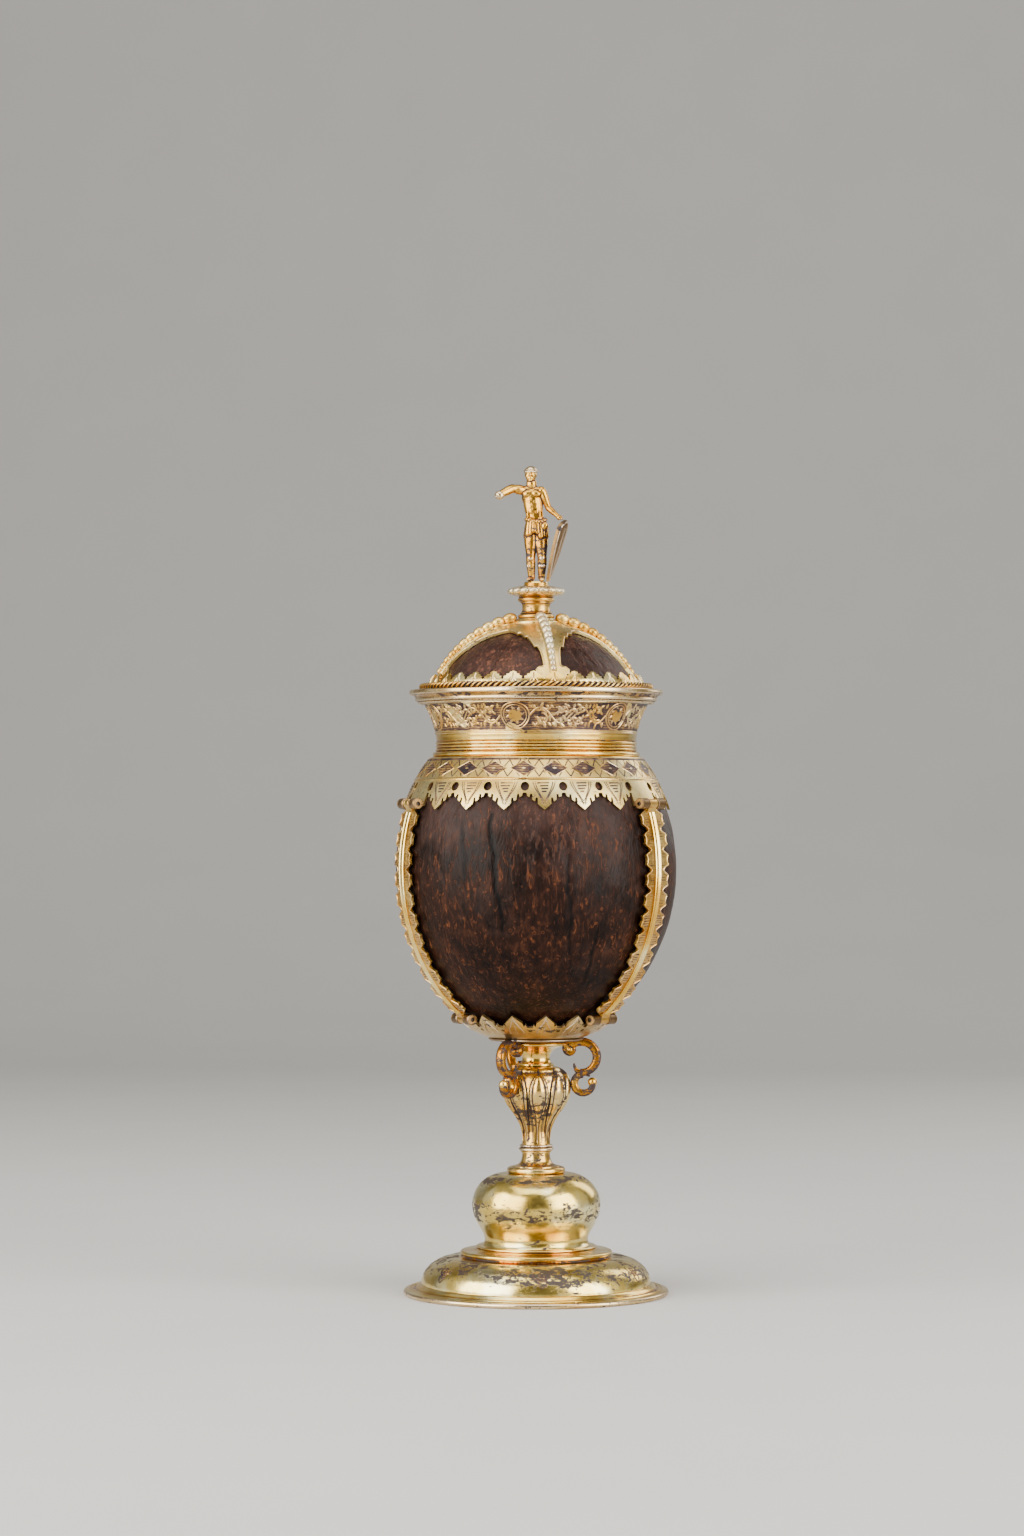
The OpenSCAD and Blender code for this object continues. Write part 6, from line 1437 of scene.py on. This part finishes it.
def build_figure():
    """A standing man in a kilt, cast in one piece, with one arm out and the other on a shield.
    Places and radii are shares of the figure's height."""
    H = FIGURE_H
    body = Shape()
    head = (-0.045, -0.008, 0.925)
    knees = ((-0.045, -0.02, 0.2), (0.055, -0.035, 0.2))

    def at(x, y, z):
        return (x * H, y * H, z * H)

    def part(shape):
        body.join(shape, Matrix.Translation((0, 0, Z_FIGURE)))

    def egg(c, r, turn=None):
        part(ball(at(*c), at(*r), Euler(turn) if turn else None))

    def of_head(x, y, z, r):
        egg((head[0] + x, head[1] + y, head[2] + z), r)

    def arm(a, ra, b, rb, flat=1.0):
        part(limb(at(*a), ra * H, at(*b), rb * H, flat))
    # Head and neck
    of_head(0, 0, 0, (0.051, 0.058, 0.062))
    of_head(0, -0.012, -0.032, (0.041, 0.044, 0.036))
    arm((-0.038, 0.006, 0.82), 0.043, (-0.043, 0.002, 0.885), 0.040)
    of_head(0, -0.057, -0.010, (0.0075, 0.011, 0.017))
    of_head(0, -0.049, 0.013, (0.032, 0.010, 0.008))
    for s in (-1, 1):
        of_head(s * 0.018, -0.0475, 0.001, (0.0085, 0.007, 0.0055))
        of_head(s * 0.046, 0.004, -0.008, (0.008, 0.012, 0.016))
        of_head(s * 0.024, -0.040, -0.020, (0.014, 0.012, 0.014))
    of_head(0, -0.052, -0.032, (0.014, 0.007, 0.0045))
    of_head(0, -0.051, -0.040, (0.012, 0.007, 0.005))
    of_head(0, -0.046, -0.056, (0.016, 0.012, 0.011))
    # Trunk
    arm((-0.036, 0.0, 0.735), 0.074, (-0.004, 0.0, 0.52), 0.075, 0.68)
    egg((-0.036, 0.0, 0.74), (0.082, 0.054, 0.075))
    egg((-0.002, 0.002, 0.505), (0.080, 0.058, 0.060))
    for s in (-1, 1):
        egg((-0.036 + s * 0.036, -0.036, 0.755), (0.042, 0.022, 0.030), (0, s * 0.2, 0))
        egg((-0.036 + s * 0.056, 0.022, 0.73), (0.034, 0.030, 0.062))
        egg((-0.018 + s * 0.048, -0.012, 0.575), (0.022, 0.036, 0.050))
        for k in range(3):
            egg((-0.028 + s * 0.019 + 0.006 * k, -0.047 + 0.001 * k, 0.685 - 0.042 * k), (0.018, 0.009, 0.019))
    # Shoulders, the arm held out with its band, and the arm on the shield
    arm((-0.095, 0.003, 0.79), 0.036, (0.03, 0.003, 0.782), 0.036)
    egg((-0.105, 0.0, 0.785), (0.040, 0.040, 0.042))
    egg((0.046, 0.0, 0.775), (0.038, 0.040, 0.046))
    arm((-0.11, 0.0, 0.785), 0.041, (-0.2, -0.045, 0.80), 0.037)
    arm((-0.2, -0.045, 0.80), 0.038, (-0.285, -0.115, 0.75), 0.034)
    for q in even_turns(10):
        egg((-0.158 + 0.004 * math.sin(q), -0.022 + 0.033 * math.cos(q), 0.793 + 0.034 * math.sin(q)),
            (0.010, 0.011, 0.011))
    arm((0.055, 0.0, 0.772), 0.036, (0.105, 0.01, 0.635), 0.027)
    arm((0.105, 0.01, 0.635), 0.028, (0.190, -0.022, 0.560), 0.019)
    egg((0.203, -0.03, 0.548), (0.028, 0.024, 0.022))
    for k in range(4):
        egg((0.214 + 0.002 * k, -0.048 + 0.012 * k, 0.538), (0.014, 0.007, 0.010))
    # Legs and feet
    for s, knee, heel in ((-1, knees[0], (-0.04, 0.01, 0.035)), (1, knees[1], (0.045, 0.02, 0.035))):
        arm((s * 0.040, 0.0, 0.40), 0.062, knee, 0.039)
        arm((knee[0], knee[1] + 0.004, knee[2]), 0.040, heel, 0.030)
        egg((knee[0] + s * 0.004, knee[1] + 0.020, knee[2] - 0.055), (0.034, 0.032, 0.058))
        arm((heel[0], heel[1] + 0.006, 0.026), 0.024, (heel[0] + s * 0.014 - 0.004, heel[1] - 0.075, 0.018), 0.019)
    # Kilt: its folds, its rolled top and its knot
    for k, q in enumerate(even_turns(18)):
        swing = 0.024 * math.sin(3 * q + 0.6) + 0.010 * math.sin(7 * q)
        upper = (0.074 * math.cos(q), 0.058 * math.sin(q), 0.515 + 0.010 * math.sin(2 * q))
        lower = (0.003 + 0.088 * math.cos(q), 0.074 * math.sin(q), 0.408 + swing)
        arm(upper, 0.016, lower, 0.020 + 0.006 * (k % 2))
    for k, q in enumerate(even_turns(14)):
        egg((-0.001 + 0.079 * math.cos(q), 0.062 * math.sin(q), 0.525 + 0.012 * math.sin(2 * q + 1)),
            (0.022, 0.020, 0.014 + 0.004 * (k % 2)))
    egg((0.070, -0.045, 0.465), (0.034, 0.030, 0.05), (0.3, 0.5, 0))
    skinned(body, "figure_standing_man", GILT_CAST, ["figure"])
    # Where the gilding is rubbed off: cap and its rim, fist, and bands under the knees
    body = Shape()
    of_head(0, 0.004, 0.022, (0.056, 0.062, 0.048))
    for q in even_turns(24):
        of_head(0.055 * math.cos(q), 0.003 + 0.060 * math.sin(q), 0.024 + 0.006 * math.sin(q), (0.009, 0.009, 0.007))
    egg((-0.303, -0.130, 0.735), (0.042, 0.036, 0.040))
    for k in range(4):
        egg((-0.326 + 0.012 * k, -0.152 + 0.005 * k, 0.726 + 0.005 * k), (0.010, 0.015, 0.016))
    for x, y, z in knees:
        egg((x, y - 0.014, z + 0.002), (0.029, 0.026, 0.030))
        for q in even_turns(8):
            egg((x - 0.002 + 0.027 * math.cos(q), y + 0.012 + 0.028 * math.sin(q), z - 0.064), (0.012, 0.012, 0.015))
    skinned(body, "figure_worn_cap_fist_knees", SILVER)


def build_shield():
    """A leaf-shaped shield that stands on the plinth and leans on the figure's hand."""
    H = FIGURE_H
    wide = 0.1 * H
    side = (curve((0, 0), (0.06 * H, 0.12 * H), (wide, 0.3 * H), (wide, 0.44 * H), 14)
            + curve((wide, 0.45 * H), (wide, 0.5 * H), (0.06 * H, 0.53 * H), (0, 0.55 * H), 10))
    lean, turn = math.radians(17), math.radians(77)
    spin = Matrix.Rotation(lean, 3, "Y") @ Matrix.Rotation(turn, 3, "Z")
    base = Vector((PLINTH_R - 0.7, -0.03 * H, Z_FIGURE + math.sin(lean) / 2))

    def laid(u, v, h):
        bow = 0.5 * (1 - (u / wide) ** 2)
        return tuple(base + spin @ Vector((u, -h - bow + 0.25, v)))
    outline = side + [(-u, v) for u, v in side[-2:0:-1]]
    plate = cut_sheet(outline, [], laid, -0.5, 0.5, 0.7)
    inset = [(u * 0.86, 0.6 + v * 0.945) for u, v in outline]
    plate.join(raised(inset, laid, 0.55, 0.3, 0.5, closed=True))
    plate.join(raised([(0, 2 + k) for k in range(18)], laid, 0.6, 0.3, 0.5))
    obj = piece(plate, "figure_leaf_shield", AGED_GILT, "lid", ["figure_shield"])
    mended(obj.data, turn=True)


def finish_hidden():
    """Rods, nuts, washers, pins and the bezel keep their solids and get their finishes."""
    screwed = ("stem_rod", "stem_washer", "stem_nut", "finial_bolt", "finial_washer", "finial_nut")
    pins = [f"{end}_pin_{i + 1}" for end in ("upper", "lower") for i in range(SIDES)]
    for names, finish in ((screwed, IRON), (pins, WIRE), (("lid_bezel",), SILVER)):
        for name in names:
            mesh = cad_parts[name].data
            mesh.materials.clear()
            mesh.materials.append(finish)


# Studio, in metres

SWEEP_FRONT, SWEEP_BEND, SWEEP_R, SWEEP_TOP, SWEEP_SIDE = -4.0, 1.2, 0.9, 4.0, 5.0
LIT = Vector((0, 0, 0.14))
# Place, width and height, power and tint of each softbox
SOFTBOXES = {"softbox_left": ((-0.85, -0.75, 0.42), (1.25, 1.15), 38.0, "#fffaf2"),
             "softbox_right": ((0.95, -0.55, 0.42), (0.85, 1.1), 25.0, "#fffbf6"),
             "softbox_top": ((0.0, -0.35, 1.3), (1.2, 0.9), 14.0, "#ffffff"),
             "softbox_back": ((0.75, 0.9, 0.7), (0.5, 0.9), 5.0, "#fffaf4")}
SENSOR, FOCAL, FAR_CLIP = 36, 94.9, 20
CAMERA_AWAY, CAMERA_TURN, CAMERA_Z, AIM_ASIDE, AIM_Z = 1.377, math.radians(5), 0.1625, -0.0082, 0.1785


def build_floor():
    """Matt grey-white paper that sweeps up behind the cup. The eye gets a faint cloudy tone."""
    floor, tree, where = new_material("Matt paper sweep")
    tooth = add(tree, "ShaderNodeTexNoise", {"Vector": where, "Scale": per_mm(60), "Detail": 3.0})
    tone = add(tree, "ShaderNodeValToRGB", {"Fac": tooth}, [(0, colour("#b9b8b6")), (1, colour("#bfbebb"))])
    surfaced(floor, {"Base Color": tone, "Roughness": 0.9})
    bend = [(math.pi / 2 * k / 16) for k in range(1, 17)]
    sweep = ([(SWEEP_FRONT, 0.0), (SWEEP_BEND, 0.0)]
             + [(SWEEP_BEND + SWEEP_R * math.sin(a), SWEEP_R - SWEEP_R * math.cos(a)) for a in bend]
             + [(SWEEP_BEND + SWEEP_R, SWEEP_TOP)])
    mesh = bpy.data.meshes.new("paper_sweep")
    mesh.from_pydata([(x, y, z) for y, z in sweep for x in (-SWEEP_SIDE, SWEEP_SIDE)], [],
                     [(2 * i, 2 * i + 1, 2 * i + 3, 2 * i + 2) for i in range(len(sweep) - 1)])
    mesh.shade_smooth()
    mesh.materials.append(floor)
    paper = placed("paper_sweep", mesh)


def build_lights():
    """Softboxes, and a light tent that is brighter at its sides."""
    for name, (place, size, power, tint) in SOFTBOXES.items():
        light = bpy.data.lights.new(name, "AREA")
        light.shape, light.size, light.size_y, light.energy = "RECTANGLE", *size, power
        light.color = colour(tint)[:3]
        lamp = placed(name, light)
        lamp.location = place
        lamp.rotation_euler = (LIT - Vector(place)).to_track_quat("-Z", "Y").to_euler()
    world = bpy.data.worlds.new("studio")
    world.use_nodes = True
    tree = world.node_tree
    tree.nodes.clear()
    toward = add(tree, "ShaderNodeTexCoord").outputs["Generated"]
    sideways = add(tree, "ShaderNodeSeparateXYZ", {"Vector": toward}).outputs["X"]
    spread = add(tree, "ShaderNodeMath", {0: sideways}, operation="ABSOLUTE")
    tent = add(tree, "ShaderNodeMapRange", {"Value": spread, "From Min": 0.3, "From Max": 0.8, "To Min": 0.3,
                                            "To Max": 1.5})
    sky = add(tree, "ShaderNodeBackground", {"Color": colour("#b0aea9"), "Strength": tent})
    add(tree, "ShaderNodeOutputWorld", {"Surface": sky})
    bpy.context.scene.world = world


def build_camera():
    """A camera at the photograph's viewing angle."""
    lens = bpy.data.cameras.new("view")
    lens.sensor_width, lens.lens, lens.clip_end = SENSOR, FOCAL, FAR_CLIP
    eye = placed("view", lens)
    s, c = math.sin(CAMERA_TURN), math.cos(CAMERA_TURN)
    eye.location = (CAMERA_AWAY * s, -CAMERA_AWAY * c, CAMERA_Z)
    aim = Vector((AIM_ASIDE * c, AIM_ASIDE * s, AIM_Z))
    eye.rotation_euler = (aim - eye.location).to_track_quat("-Z", "Y").to_euler()
    bpy.context.scene.camera = eye


for build in (build_foot, build_stem, build_brackets, build_calyx, build_nut, build_shoulder, build_lip, build_straps,
              build_lid_rim, build_lid_shell, build_crown, build_finial, build_figure, build_shield, finish_hidden,
              build_floor, build_lights, build_camera):
    build()
